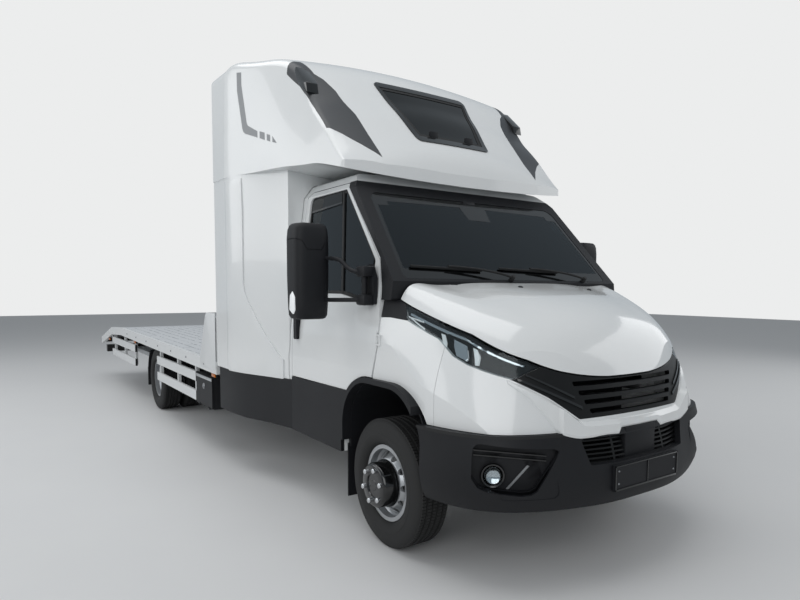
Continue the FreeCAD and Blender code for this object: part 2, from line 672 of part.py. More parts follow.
def make_cab():
    """Cab shell, windscreen, and the black covers over the windscreen pillars and cowl."""
    outer = cab_volume(0)
    middle = cab_volume(PILLAR_COVER)
    skin = outer.cut(cab_volume(CAB_SKIN))
    wide = CAB_HALF_WIDTH + 40
    cover_zone = prism_y([(-598, 2172), (-86 + SHUT_GAP, 1662 + SHUT_GAP), (-28, 1500),
                          (-20, COWL_BASE_Z + 1), (300, COWL_BASE_Z + 1), (300, 2172)], -wide, wide)
    layer = outer.cut(middle)
    screen_hole = prism_x(screen_outline(0), -720, 300)
    cover = layer.common(cover_zone).cut(screen_hole)
    save("cowl_trim", [cover] + bonnet_lugs())
    shell = skin.cut(cover_zone.common(layer))
    shell = shell.cut(prism_x(screen_outline(40), -720, 300))
    for sign in (1, -1):
        shell = shell.cut(door_cutter(SHUT_GAP, sign * 600, sign * wide))
    for sign in (1, -1):
        shell = shell.cut(box((FIREWALL_X - 15, 300), (sign * 868, sign * 1100), (400, 1436)))
        shell = shell.cut(box((-90, 300), (sign * 966, sign * 1100), (400, 1436)))
        shell = shell.cut(box((CAB_REAR_X - 10, DOOR_REAR_X - SHUT_GAP), (sign * 956, sign * 1100),
                              (400, POD_BASE_Z + 2)))
    shell = shell.cut(box((CAB_REAR_X - 50, CAB_REAR_X + CAB_SKIN + 50), (-620, 620), (1120, 2120)))
    for sign in (1, -1):
        shell = shell.cut(arch(30, sign * LINER_INNER_Y, sign * wide))
    sill = box((CAB_REAR_X + CAB_SKIN, -470), (CAB_HALF_WIDTH - DOOR_THICKNESS - 60,
                                                CAB_HALF_WIDTH - DOOR_THICKNESS - SHUT_GAP - 8),
               (DOOR_BOTTOM_Z + 60, CAB_FLOOR_Z))
    lip = box((CAB_REAR_X + CAB_SKIN, -470), (CAB_HALF_WIDTH - 330, CAB_HALF_WIDTH - DOOR_THICKNESS - 60),
              (DOOR_BOTTOM_Z + 60, DOOR_BOTTOM_Z + 80))
    riser = box((CAB_REAR_X + CAB_SKIN, -470), (CAB_HALF_WIDTH - 330, CAB_HALF_WIDTH - 310),
                (DOOR_BOTTOM_Z + 60, CAB_FLOOR_Z))
    steps = [sill, lip, riser]
    shell = fused([shell] + steps + [mirrored(one) for one in steps])
    save("cab_shell", shell)
    pane = cab_volume(PILLAR_COVER - SCREEN_THICKNESS).cut(middle)
    save("windscreen", pane.common(prism_x(screen_outline(SEAT_GAP), -720, 300)))


def side_wall(thickness):
    """The cab's side walls drawn out along the truck, of one thickness."""
    return prism_x(cab_cross(0), CAB_REAR_X, 200).cut(
        prism_x(cab_cross(thickness), CAB_REAR_X - 10, 210))


def make_doors():
    """Hinged doors: shell, two fixed panes, and the black cladding, handle and mirror."""
    lower = side_wall(DOOR_THICKNESS).common(box((-2000, 200), (700, 1200), (300, DOOR_BELT_Z - 30)))
    upper = side_wall(DOOR_FRAME_THICKNESS).common(
        box((-2000, 200), (700, 1200), (DOOR_BELT_Z - 30, 2300)))
    body = fused([lower, upper]).common(door_cutter(0, 500, 1100))
    body = body.cut(arch(FLARE_WIDTH + SHUT_GAP, 500, 1100))
    window = prism_y(window_outline(0), 500, 1100)
    cladding_zone = prism_y([(-2000, 300), (-2000, CLADDING_TOP_Z), (-400, CLADDING_TOP_Z + 12),
                             (200, CLADDING_TOP_Z + 12), (200, 300)], 500, 1100)
    face = CAB_HALF_WIDTH - CLADDING_DEPTH
    recess = cladding_zone.common(box((-2000, 200), (face, 1100), (300, 1000)))
    pin_low, pin_high = HINGE_LUG_Z
    bore = Part.makeCylinder(HINGE_PIN_RADIUS + FIT_GAP, pin_high - pin_low + 50,
                             Vector(HINGE_X, HINGE_Y, pin_low - 20))
    notches = hinge_lugs(HINGE_PIN_RADIUS + 8, 5)
    fronts = [box((HINGE_X, 0), (HINGE_Y - 11, 1100), (z - 5, z + HINGE_LUG + 5))
              for z in HINGE_LUG_Z]
    shell = body.cut(window).cut(recess).cut([bore] + notches + fronts)
    save("door_left_shell", shell)
    save("door_right_shell", mirrored(shell))
    layer = cab_volume(18).cut(cab_volume(18 + GLASS))
    pane = layer.common(prism_y(window_outline(SEAT_GAP), 500, 1100)).common(
        box((-2000, 200), (0, 1100), (1350, 2300)))
    save("door_left_glass", pane)
    save("door_right_glass", mirrored(pane))
    trim = door_trim(body, recess)
    save("door_left_trim", trim)
    save("door_right_trim", [mirrored(one) for one in solids_of(trim)])


def door_trim(body, recess):
    """Lower cladding, pull handle and mirror of the left door."""
    face = CAB_HALF_WIDTH - CLADDING_DEPTH
    edge = prism_y([(DOOR_REAR_X + 1, DOOR_BOTTOM_Z), (DOOR_REAR_X + 1, CLADDING_TOP_Z - 1),
                    (-400, CLADDING_TOP_Z + 11), (-100, CLADDING_TOP_Z + 11), (-100, 700),
                    (-440, DOOR_BOTTOM_Z)], face, CAB_HALF_WIDTH + 6)
    cladding = edge.cut(arch(FLARE_WIDTH + SHUT_GAP, 500, 1100))
    handle = prism_y([(-1128, 1130, 14), (-1080, 1130, 14), (-1080, 1305, 14), (-1128, 1305, 14)],
                     CAB_HALF_WIDTH - 14, CAB_HALF_WIDTH + 18)
    handle = handle.cut(body)
    base = prism_y([(-60, 1560), (-100, 1640, 10), (-170, 1640, 20), (-170, 1380, 20), (-60, 1380)],
                   950, 1046)
    base = base.cut(cab_volume(0))
    arms = [rod((-110, 1030, z_foot), (-350, 1130, z_tip), 14)
            for z_foot, z_tip in ((1600, 1660), (1420, 1420))]
    housing = prism_z([(-330, 1096, 30), (-330, 1270, 60), (-480, 1300, 60), (-520, 1290, 14),
                       (-520, 1110, 14), (-440, 1080, 30)], 1305, 1870)
    mirror = fused([base] + arms + [housing])
    return [cladding, handle, mirror]


# Nose

def crown_volume(inset):
    """The bonnet's crown, a loft through upright sections along the truck."""
    stations = [(-120, 1558, 880, 1540, 968, 1440, 1003, 1180),
                (92, 1530, 850, 1512, 912, 1440, 986, 1180),
                (420, 1466, 720, 1412, 842, 1318, 958, 1080),
                (700, 1362, 560, 1300, 740, 1170, 880, 900),
                (850, 1240, 440, 1180, 640, 1030, 800, 700),
                (940, 1075, 330, 1010, 560, 850, 720, 520),
                (1010, 850, 260, 780, 470, 620, 620, 330)]
    wires = []
    for x, top, shoulder, shoulder_z, edge, edge_z, low, low_z in stations:
        fall = top - shoulder_z
        half = [(0, top), (shoulder * 0.5, top - fall * 0.22), (shoulder * 0.85, top - fall * 0.68),
                (shoulder, shoulder_z), (edge, edge_z), (low, low_z)]
        squeeze = 1 - inset / low
        right = [Vector(x, -y * squeeze, z - inset) for y, z in reversed(half)]
        left = [Vector(x, y * squeeze, z - inset) for y, z in half[1:]]
        curve = Part.BSplineCurve()
        curve.interpolate(right + left)
        start, end = right[0], left[-1]
        corner = [Vector(x, end.y, 250 - inset), Vector(x, start.y, 250 - inset)]
        wires.append(Part.Wire([curve.toShape(), Part.makeLine(end, corner[0]),
                                Part.makeLine(corner[0], corner[1]), Part.makeLine(corner[1], start)]))
    return Part.makeLoft(wires, True, False)


def plan_wire(z, points, inset):
    """A plan section of the nose: a spline round the front, closed across the back."""
    widest = points[-1][1]
    squeeze = 1 - inset / widest
    rear = points[-1][0]
    ahead = [Vector(x - inset * (1 if x > rear else 0), y * squeeze, z) for x, y in points]
    other = [Vector(v.x, -v.y, v.z) for v in reversed(ahead)]
    curve = Part.BSplineCurve()
    curve.interpolate(other + ahead[1:])
    return Part.Wire([curve.toShape(), Part.makeLine(ahead[-1], other[0])])


def plan_volume(inset):
    """The nose in plan, a loft through level sections from the bumper line up."""
    back = -120
    sections = [
        (680, [(994, 0), (988, 240), (965, 470), (905, 680), (800, 840), (640, 935), (400, 985),
               (back, 1003)]),
        (800, [(998, 0), (990, 240), (962, 460), (900, 660), (800, 820), (640, 922), (400, 980),
               (back, 1003)]),
        (930, [(978, 0), (968, 230), (935, 440), (872, 630), (770, 790), (620, 900), (400, 968),
               (back, 1003)]),
        (1080, [(940, 0), (930, 230), (890, 440), (822, 620), (725, 760), (580, 868), (380, 948),
                (back, 1000)]),
        (1300, [(850, 0), (838, 220), (800, 420), (740, 570), (650, 700), (520, 810), (340, 898),
                (back, 985)]),
        (1600, [(740, 0), (725, 200), (690, 380), (630, 520), (540, 640), (430, 750), (290, 840),
                (back, 960)])]
    wires = [plan_wire(z, points, inset) for z, points in sections]
    return Part.makeLoft(wires, True, False)


def nose_volume(inset):
    return crown_volume(inset).common(plan_volume(inset))


def bonnet_line(drop):
    """Side view of the region above the bonnet's edge."""
    return [(BONNET_REAR_X, 1700), (BONNET_REAR_X, 1432 - drop), (180, 1400 - drop),
            (570, 1262 - drop), (800, 1142 - drop), (880, 1085 - drop), (945, 1045 - drop),
            (1100, 1000 - drop), (1100, 1700)]


def lamp_line(gap):
    """Side view of the headlamp, shrunk by the gap."""
    return [(150 + gap, 1404 - gap), (196 + gap, 1318 + gap, 10), (421, 1232 + gap, 60),
            (520, 1150 + gap, 60), (600, 1112 + gap, 40), (790 - gap, 1046 + gap, 20),
            (842 - gap, 1112 - gap), (570, 1256 - gap), (180, 1394 - gap)]


def wing_trim_line(gap):
    """Side view of the black trim between the door and the headlamp, shrunk by the gap."""
    return [(NOSE_REAR_X, COWL_BASE_Z), (NOSE_REAR_X, 1326 + gap), (60, 1330 + gap),
            (196 - gap, 1318 + gap), (150 - gap, COWL_BASE_Z)]


def grille_front(gap):
    """Front view of the grille, shrunk by the gap."""
    half = [(408 - gap, 846 + gap, 30), (560 - gap, 960 + gap, 60), (735 - gap, 1062 + gap)]
    return half + [(735 - gap, 1300), (-735 + gap, 1300)] + [
        (-point[0],) + tuple(point[1:]) for point in reversed(half)]


def make_nose():
    """Bonnet, wings, white front moulding, headlamps and grille, cut from one skin."""
    outer = nose_volume(0)
    inner = nose_volume(PANEL)
    skin = outer.cut(inner).common(box((NOSE_REAR_X, 1200), (-1100, 1100), (BUMPER_TOP_Z, 1700)))
    wide = 1200
    skin = skin.cut(door_cutter(SHUT_GAP, -wide, wide))
    above = prism_y(bonnet_line(0), -wide, wide)
    save_bonnet(skin.common(above))
    below = skin.cut(prism_y(bonnet_line(BONNET_GAP), -wide, wide))
    below = below.cut(box((NOSE_REAR_X - 5, BONNET_REAR_X + 1), (-wide, wide), (COWL_BASE_Z, 1700)))
    lamp = prism_y(lamp_line(0), -wide, wide)
    grille_zone = prism_x(grille_front(0), 760, 1200).cut(prism_y(lamp_line(-SEAT_GAP), -wide, wide))
    lamps = below.common(prism_y(lamp_line(SEAT_GAP), -wide, wide)).common(
        box((0, 1200), (420, 1100), (900, 1500)))
    grille_face = below.common(prism_x(grille_front(SEAT_GAP), 760 + SEAT_GAP, 1200)).cut(
        prism_y(lamp_line(-SEAT_GAP), -wide, wide))
    panels = below.cut(lamp).cut(grille_zone)
    panels = panels.cut(prism_y(wing_trim_line(0), -wide, wide))
    side_black = below.common(prism_y(wing_trim_line(SEAT_GAP), -wide, wide)).cut(
        prism_y(lamp_line(-SEAT_GAP), -wide, wide))
    edge = FLARE_WIDTH + SEAT_GAP
    panels = panels.cut(arch(edge, 500, 1100)).cut(arch(edge, -1100, -500))
    seam = box((WING_SEAM_X, WING_SEAM_X + 3), (-wide, wide), (600, 1500))
    panels = without_offcuts(panels.cut(seam))
    save("front_panels", panels + nose_carrier(inner) + both_sides(door_pin()))
    save("headlamps", [without_offcuts(lamps), [mirrored(one) for one in without_offcuts(lamps)]])
    save("grille", slatted(grille_face))
    save("wing_trims", without_offcuts(side_black))


def door_pin():
    """The door's hinge pin, held by two lugs behind the wing's rear edge."""
    low, high = HINGE_LUG_Z
    pin = Part.makeCylinder(HINGE_PIN_RADIUS, high - low + 40, Vector(HINGE_X, HINGE_Y, low - 15))
    lugs = [box((HINGE_X, 12), (HINGE_Y - 3, HINGE_Y + 3), (z, z + HINGE_LUG)) for z in HINGE_LUG_Z]
    backs = [box((0, 12), (HINGE_Y - 40, HINGE_Y + 3), (low, high + HINGE_LUG))]
    return fused([pin] + lugs + backs + hinge_lugs(HINGE_PIN_RADIUS + 2.5, 0))


def save_bonnet(shell):
    """Bonnet with the bores and notches for its two hinge lugs."""
    x, z = BONNET_HINGE
    cuts = []
    for y in (BONNET_HINGE_Y, -BONNET_HINGE_Y):
        cuts.append(rod((x, y - 40, z), (x, y + 40, z), HINGE_PIN_RADIUS + FIT_GAP))
        cuts.append(box((x - 40, x + 14), (y - 9, y + 9), (z - 60, z + 60)))
    save("bonnet", shell.cut(cuts))


def bonnet_lugs():
    """Pins and plates on the cowl that carry the bonnet."""
    x, z = BONNET_HINGE
    lugs = []
    for y in (BONNET_HINGE_Y, -BONNET_HINGE_Y):
        lugs.append(fused([rod((x, y - 35, z), (x, y + 35, z), HINGE_PIN_RADIUS),
                           rod((x, y - 3, z), (x, y + 3, z), HINGE_PIN_RADIUS + 3),
                           box((COWL_X, x), (y - 3, y + 3), (z - 50, z + 3))]))
    return lugs


def nose_carrier(inner):
    """Ribs behind the front panels that tie them to the frame's front beam."""
    low = FRONT_RAIL_TOP_Z - FRONT_RAIL_DEPTH + 120
    rib_x = (640, 690)
    rib_z = (985, 1015)
    pieces = [box(rib_x, (-1000, 1000), rib_z).common(inner)]
    for side in (1, -1):
        post_y = (side * 540, side * 600)
        pieces.append(fused([box(rib_x, post_y, (low, rib_z[0])),
                             box((FRONT_RAIL_X + 20, rib_x[1]), post_y, (low, low + 40))]))
        pieces.append(box((10, rib_x[0]), (side * 780, side * 1000), (1000, rib_z[1])).common(inner))
    return pieces


def slatted(face):
    """The grille's frame with long air slots between its bars."""
    for index in range(SLOT_COUNT):
        z = SLOT_LOW_Z + index * SLOT_PITCH
        half = SLOT_HALF + index * SLOT_SPREAD
        slot = prism_x([(-half, z, 8), (half, z, 8), (half + 10, z + SLOT_HEIGHT, 8),
                        (-half - 10, z + SLOT_HEIGHT, 8)], 760, 1200)
        face = face.cut(slot)
    return face


# Bumper

def bumper_volume(inset):
    """The black bumper, a loft through level sections."""
    back = -40
    sections = [
        (BUMPER_BOTTOM_Z - 1, [(1040, 0), (1030, 250), (980, 470), (910, 650), (810, 800), (670, 900),
                               (480, 955), (back, 965)]),
        (470, [(1066, 0), (1056, 255), (1004, 480), (938, 665), (842, 820), (700, 925), (490, 985),
               (back, 995)]),
        (LEDGE_Z, [(1068, 0), (1058, 255), (1000, 480), (948, 675), (868, 830), (720, 940), (500, 1000),
                   (back, 1010)]),
        (BUMPER_TOP_Z, [(1020, 0), (1010, 245), (978, 470), (915, 680), (818, 838), (660, 938),
                        (450, 998), (back, 1014)])]
    wires = [plan_wire(z, points, inset) for z, points in sections]
    return Part.makeLoft(wires, True, False)


def make_bumper():
    """Hollow bumper with its air intake, fog lamp recesses and plate holder."""
    shell = bumper_volume(0).cut(bumper_volume(BUMPER_WALL))
    shell = shell.common(box((ARCH_FRONT_X - 60, 1200), (-1100, 1100), (BUMPER_BOTTOM_Z, BUMPER_TOP_Z - 2)))
    shell = shell.cut(arch(2, 500, 1100)).cut(arch(2, -1100, -500))
    intake = prism_x([(-INTAKE_HALF + 40, LEDGE_Z + 16, 12), (INTAKE_HALF - 40, LEDGE_Z + 16, 12),
                      (INTAKE_HALF, BUMPER_TOP_Z - 40, 12), (-INTAKE_HALF, BUMPER_TOP_Z - 40, 12)],
                     800, 1200)
    shell = shell.cut(intake)
    deep = bumper_volume(BUMPER_WALL + 44)
    floor = bumper_volume(BUMPER_WALL + 30)
    for sign in (1, -1):
        cup = prism_x([(sign * 550, 466, 30), (sign * 845, 466, 30), (sign * 866, 694, 30),
                       (sign * 592, 694, 30)], 640, 1200)
        pocket = prism_x([(sign * 560, 480, 30), (sign * 830, 480, 30), (sign * 850, 680, 30),
                          (sign * 600, 680, 30)], 640, 1200)
        shell = shell.fuse(cup.common(bumper_volume(0)).cut(deep)).cut(pocket.cut(floor))
    plate = box((1062, 1078), (-268, 268), (478, 612))
    plate = plate.cut(bumper_volume(-0.3))
    save("front_bumper", [shell, plate])
    sheet = bumper_volume(BUMPER_WALL).cut(bumper_volume(BUMPER_WALL + MESH_DEPTH))
    sheet = sheet.common(box((800, 1200), (-INTAKE_HALF - 15, INTAKE_HALF + 15), (612, 762)))
    slots = [box((800, 1200), (y, y + MESH_BAY - 14), (z, z + 14))
             for z in range(626, 740, 22) for y in range(-2 * MESH_BAY + 7, 2 * MESH_BAY, MESH_BAY)]
    save("lower_grille", sheet.cut(slots))


def make_flares():
    """Wheel-arch flares, liners and mud flaps at the front."""
    band = arch(FLARE_WIDTH, 940, CAB_HALF_WIDTH + 16).cut(arch(-1, 900, 1100))
    band = band.common(box((ARCH_REAR_X - FLARE_WIDTH, ARCH_FRONT_X - 62), (900, 1100), (552, 1100)))
    liner = arch(-1, LINER_INNER_Y, 960).cut(arch(-7, LINER_INNER_Y + 6, 1000))
    liner = liner.common(box((-500, 500), (500, 1000), (560, 1100)))
    flap = box((-432, -424), (760, 965), (180, 520))
    hanger = box((-432, -405), (760, 955), (500, 560))
    piece = fused([band.cut(arch(-1, 900, 1100)), liner, hanger, flap])
    save("mudguards", both_sides(piece) + rear_mudguards())


def rear_mudguards():
    """Curved guards before and behind the twin wheels, with hanging flaps."""
    pieces = []
    inner = REAR_OUTER_Y - TWIN_SPACING - TYRE_WIDTH / 2
    outer = REAR_OUTER_Y + TYRE_WIDTH / 2 + 6
    for sign in (1, -1):
        ring = Part.makeCylinder(TYRE_RADIUS + 52, outer - inner, Vector(-WHEELBASE, inner, TYRE_RADIUS),
                                 Vector(0, 1, 0))
        core = Part.makeCylinder(TYRE_RADIUS + 47, outer - inner, Vector(-WHEELBASE, inner, TYRE_RADIUS),
                                 Vector(0, 1, 0))
        zone = box((-WHEELBASE + sign * 260, -WHEELBASE + sign * 600), (inner, outer), (420, 705))
        guard = ring.cut(core).common(zone)
        stay = box((-WHEELBASE + sign * 300 - 15, -WHEELBASE + sign * 300 + 15),
                   (FRAME_HALF_WIDTH, inner + 40), (640, 660))
        hung = [guard, stay]
        if sign < 0:
            hung.append(box((-WHEELBASE - 428, -WHEELBASE - 420), (inner, outer), (240, 470)))
        pieces += both_sides(fused(hung))
    return pieces


# Pod

PodStation = namedtuple("PodStation", "x side low under ridge ridge_z top corner")

POD_STATIONS = [
    PodStation(POD_REAR_X, POD_HALF_WIDTH, 2355, 2350, POD_HALF_WIDTH, 3190, POD_TOP_Z - 6, 60),
    PodStation(POD_CREASE_X, POD_HALF_WIDTH, 2352, 2347, 1178, 3204, POD_TOP_Z, 60),
    PodStation(-1760, 1152, 2348, 2342, 1130, 3190, POD_TOP_Z + 1, 62),
    PodStation(-1480, 1112, 2338, 2300, 1056, 3142, POD_TOP_Z - 26, 65),
    PodStation(-1126, 1072, 2322, 2262, 976, 3002, 3072, 65),
    PodStation(-900, 1036, 2305, 2256, 970, 2716, 2838, 65),
    PodStation(-706, 1004, 2288, 2250, 970, 2524, 2631, 50),
    PodStation(-590, 984, 2262, 2235, 966, 2390, 2512, 34),
    PodStation(-474, 966, 2234, 2202, 958, 2276, 2386, 14),
    PodStation(POD_FRONT_X, 948, 2222, 2198, 944, 2252, 2266, 8)]


def pod_section(station, inset):
    """Section above the split line: sides, tight ridges and a crowned roof."""
    ridge = Vector(station.x, station.ridge - inset, station.ridge_z - inset)
    top = station.top - inset
    foot = Vector(station.x, station.side - inset, min(station.low + inset, ridge.z - 12))
    under = min(station.under + inset, foot.z - 2)
    down = (foot - ridge).normalize()
    rise = 2 * math.atan((top - ridge.z) / ridge.y)
    inward = Vector(0, -math.cos(rise), math.sin(rise))
    half = down.getAngle(inward) / 2
    radius = min(station.corner, 0.8 * (ridge.z - foot.z) * math.tan(half))
    low_end = ridge + down * (radius / math.tan(half))
    high_end = ridge + inward * (radius / math.tan(half))
    middle = ridge + (down + inward).normalize() * (radius / math.sin(half) - radius)
    side = [Part.makeLine(foot, low_end), Part.Arc(low_end, middle, high_end).toShape()]
    across = Vector(high_end.x, -high_end.y, high_end.z)
    crown = Part.Arc(high_end, Vector(station.x, 0, top), across).toShape()
    far_foot = Vector(foot.x, -foot.y, foot.z)
    floor = Part.Arc(far_foot, Vector(station.x, 0, under), foot).toShape()
    return Part.Wire(Part.__sortEdges__(side + [mirrored(edge) for edge in side] + [crown, floor]))


def brow_plan():
    """Plan of the pod's front edge, which is nearly straight between two tight corners."""
    half = [(POD_FRONT_X - 3, 200), (POD_FRONT_X - 12, 690, 200), (POD_FRONT_X - 56, 962, 30),
            (-620, 1012), (-620, 1300), (POD_REAR_X - 100, 1300)]
    other = [(point[0], -point[1]) + tuple(point[2:]) for point in reversed(half)]
    return prism_z(half + other, 2000, 3400)


def pod_upper(inset):
    """The pod above its split line: a straight rear part, then a loft down to the brow."""
    wires = [pod_section(station, inset) for station in POD_STATIONS]
    rear = Part.makeLoft(wires[:2], True, True)
    front = Part.makeLoft(wires[1:], True, False)
    both = rear.fuse(front)
    if inset:
        return both.common(box((POD_REAR_X + inset, POD_INNER_FRONT_X), (-1300, 1300), (2000, 3400)))
    return both.common(brow_plan())


def pod_lower(inset):
    """The pod below its split line: flat sides that sweep in to the cab."""
    wide = POD_HALF_WIDTH - POD_SPLIT_STEP - inset
    half = [(POD_CREASE_X, wide), (-1760, 1146 - inset), (-1480, 1060 - inset),
            (POD_MEET_X + (0 if not inset else -2), 1004 - inset)]
    curve = Part.BSplineCurve()
    curve.interpolate([Vector(x, y, 0) for x, y in half])
    left = curve.toShape()
    right = left.mirror(Vector(0, 0, 0), Vector(0, 1, 0))
    rear = POD_REAR_X + inset
    lines = [Part.makeLine(Vector(rear, -wide, 0), Vector(rear, wide, 0)),
             Part.makeLine(Vector(rear, wide, 0), Vector(POD_CREASE_X, wide, 0)),
             left,
             Part.makeLine(Vector(half[-1][0], half[-1][1], 0), Vector(half[-1][0], -half[-1][1], 0)),
             right,
             Part.makeLine(Vector(POD_CREASE_X, -wide, 0), Vector(rear, -wide, 0))]
    wire = Part.Wire(Part.__sortEdges__(lines))
    face = Part.Face(wire)
    face.translate(Vector(0, 0, POD_BASE_Z + inset))
    return face.extrude(Vector(0, 0, POD_SPLIT_Z - POD_BASE_Z))


def make_pod():
    """Sleeper pod: one hollow moulding behind and over the cab, with its roof window."""
    outer = pod_upper(0).fuse(pod_lower(0))
    inner = pod_upper(POD_WALL).fuse(pod_lower(POD_WALL))
    opening = prism_y([(-1500, 900), (-1100, 900), (-1100, 2130), (-1500, 2130)], -640, 640)
    window = roof_window_zone(0)
    shell = outer.cut(inner).cut(cab_volume(-3)).cut(opening).cut(window)
    save("pod_shell", shell)
    save("roof_window", outer.common(roof_window_zone(SEAT_GAP)).cut(pod_upper(22)))
    skirt = prism_z([(DOOR_REAR_X - 2 * SHUT_GAP, 1003), (-1480, 1056), (-1760, 1140), (POD_CREASE_X, 1176),
                     (-2315, 1176), (-2315, 1140), (POD_CREASE_X, 1140), (-1760, 1104), (-1480, 1020),
                     (DOOR_REAR_X - 2 * SHUT_GAP, 966)],
                    470, POD_BASE_Z)
    save("pod_skirts", both_sides(skirt))
    lamp = prism_y([(-1165, 2930), (-1135, 3018, 12), (-965, 2868, 12), (-950, 2800)], 900, 984)
    lamp = without_offcuts(lamp.cut(outer))
    save("marker_lamps", lamp + [mirrored(one) for one in lamp])


def roof_window_zone(gap):
    """Front view of the pod's window, drawn out along the truck."""
    half = [(318 - gap, 2506 + gap, 40), (424 - gap, 3000 - gap, 40)]
    return prism_x(half + [(-y, z, r) for y, z, r in reversed(half)], -1300, -300)


# Cab inside

def make_interior():
    """Dashboard, steering wheel, seats and sleeper bunk."""
    front_x = FIREWALL_X - CAB_SKIN
    dash = prism_y([(front_x, 990), (front_x, 1420), (-330, 1440, 40), (-440, 1330, 40), (-330, 1100, 60),
                    (-300, 990)], -850, 850)
    centre = Vector(-560, 420, 1330)
    axis = Vector(-0.82, 0, 0.57).normalize()
    bore = Part.makeCylinder(COLUMN_RADIUS + FIT_GAP, 240, centre - axis * 244, axis)
    save("dashboard", dash.cut(bore))
    rim = Part.makeTorus(205, 16, centre, axis)
    hub = Part.makeCylinder(60, 30, centre - axis * 20, axis)
    across = Vector(0, 1, 0)
    down = axis.cross(across)
    spokes = [Part.makeCylinder(12, 200, centre, direction)
              for direction in (across, across * -1, down)]
    column = Part.makeCylinder(COLUMN_RADIUS, 224, centre - axis * 240, axis)
    save("steering_wheel", fused([rim, hub, column] + spokes))
    seats = []
    for y_from, y_to in ((180, 700), (-720, 80)):
        cushion = prism_y([(-560, 880, 40), (-580, 1040, 60), (-1080, 1010, 40), (-1080, 880)],
                          y_from, y_to)
        back = prism_y([(-1060, 1000), (-1000, 1010, 20), (-1140, 1700, 36), (-1230, 1700, 36),
                        (-1190, 1000, 20)], y_from + 20, y_to - 20)
        plinth = box((-1020, -640), (y_from + 60, y_to - 60), (CAB_FLOOR_Z, 880))
        seats.append(fused([cushion, back, plinth]))
    bunk = box((-2250, -1500), (-1000, 1000), (1500, 1640))
    shelf = box((POD_REAR_X + POD_WALL, -1500), (-1000, 1000), (1460, 1500))
    save("seats_and_bunk", seats + [fused([bunk, shelf])])


def make_wipers():
    """Two wiper arms with their blades, parked on the windscreen."""
    slope = Vector(-598, 0, 641).normalize()
    normal = Vector(641, 0, 598).normalize()
    pieces = []
    for y in (-60, 620):
        pivot = Vector(93, y, 1524) + slope * 34 + normal * 14
        tip = pivot + slope * 90 + Vector(0, -560, 0)
        arm = rod(tuple(pivot), tuple(tip), 9)
        post = Part.makeCylinder(16, 26, pivot - normal * 14, normal)
        blade = rod(tuple(tip + Vector(0, 300, 0) - slope * 10), tuple(tip - Vector(0, 140, 0)), 8)
        pieces.append(fused([arm, post, blade]))
    save("wipers", pieces)


# Deck

def deck_top():
    """Side view of the deck's top line, from the pod to the tail."""
    return [(DECK_FRONT_X, DECK_FRONT_Z), (DECK_BREAK_X, DECK_BREAK_Z), (TAIL_BREAK_X, TAIL_BREAK_Z),
            (TAIL_X, TAIL_Z)]


def deck_band(top_drop, depth, front_x, rear_x):
    """A band that follows the deck's top line, as a closed side outline."""
    clipped = [max(min(x, front_x), rear_x) for x, z in deck_top()]
    line = [(x, deck_height(x)) for x in clipped]
    upper = [(x, z - top_drop) for x, z in line]
    return upper + [(x, z - depth) for x, z in reversed(upper)]


def deck_height(x):
    """Height of the deck's top line at x."""
    line = deck_top()
    for (x_a, z_a), (x_b, z_b) in zip(line, line[1:]):
        if x_b <= x <= x_a:
            return z_a + (z_b - z_a) * (x - x_a) / (x_b - x_a)
    return TAIL_Z


def make_deck():
    """Plank floor, side rails with front gussets, cross members and bearers."""
    inner = DECK_HALF_WIDTH - RAIL_WIDTH
    floor = prism_y(deck_band(FLOOR_DROP, FLOOR_THICKNESS, DECK_FRONT_X, TAIL_X + 20), -inner, inner)
    save("deck_floor", floor)
    rail = prism_y(deck_band(0, RAIL_HEIGHT, DECK_FRONT_X, TAIL_X), inner, DECK_HALF_WIDTH)
    gusset = prism_y([(DECK_FRONT_X - 8, DECK_FRONT_Z - 4), (DECK_FRONT_X - 8, 1240, 20),
                      (DECK_FRONT_X - 60, 1240, 20), (DECK_FRONT_X - 330, DECK_FRONT_Z + 60, 40),
                      (DECK_FRONT_X - 420, DECK_FRONT_Z - 4)], inner + 6, DECK_HALF_WIDTH - 6)
    side = fused([rail, gusset])
    tail = box((TAIL_X, TAIL_X + 19), (-inner, inner), (TAIL_Z - RAIL_HEIGHT + 20, TAIL_Z))
    save("deck_rails", fused([side, mirrored(side), tail]))
    make_deck_frame(inner)


def bearer_low(x):
    """Underside of the deck's long bearers at x, on the sloping tail."""
    end_x = TAIL_X + 60
    end_z = TAIL_Z - FLOOR_DROP - FLOOR_THICKNESS - 90
    return end_z + (FRAME_TOP_Z - end_z) * (x - end_x) / (TAIL_BREAK_X - end_x)


def make_deck_frame(inner):
    """Cross members under the planks, on two long bearers."""
    pieces = []
    under = FLOOR_DROP + FLOOR_THICKNESS
    span = DECK_FRONT_X - TAIL_X - 200
    for index in range(CROSS_COUNT):
        x = DECK_FRONT_X - 80 - span * index / (CROSS_COUNT - 1)
        top = deck_height(x) - under
        tilt = deck_height(x - CROSS_WIDTH) - deck_height(x)
        low = top - CROSS_DEPTH
        pieces.append(prism_y([(x, top), (x - CROSS_WIDTH, top + tilt), (x - CROSS_WIDTH, low), (x, low)],
                              -inner, inner))
    for side in (1, -1):
        bearer = prism_y([(DECK_FRONT_X - 20, DECK_FRONT_Z - under - 20),
                          (DECK_BREAK_X, DECK_BREAK_Z - under - 20),
                          (TAIL_BREAK_X, TAIL_BREAK_Z - under - 20), (TAIL_X + 60, TAIL_Z - under - 20),
                          (TAIL_X + 60, bearer_low(TAIL_X + 60)), (TAIL_BREAK_X, FRAME_TOP_Z),
                          (DECK_FRONT_X - 20, FRAME_TOP_Z)], side * 372, side * 424)
        pieces.append(bearer)
    save("deck_frame", fused(pieces))


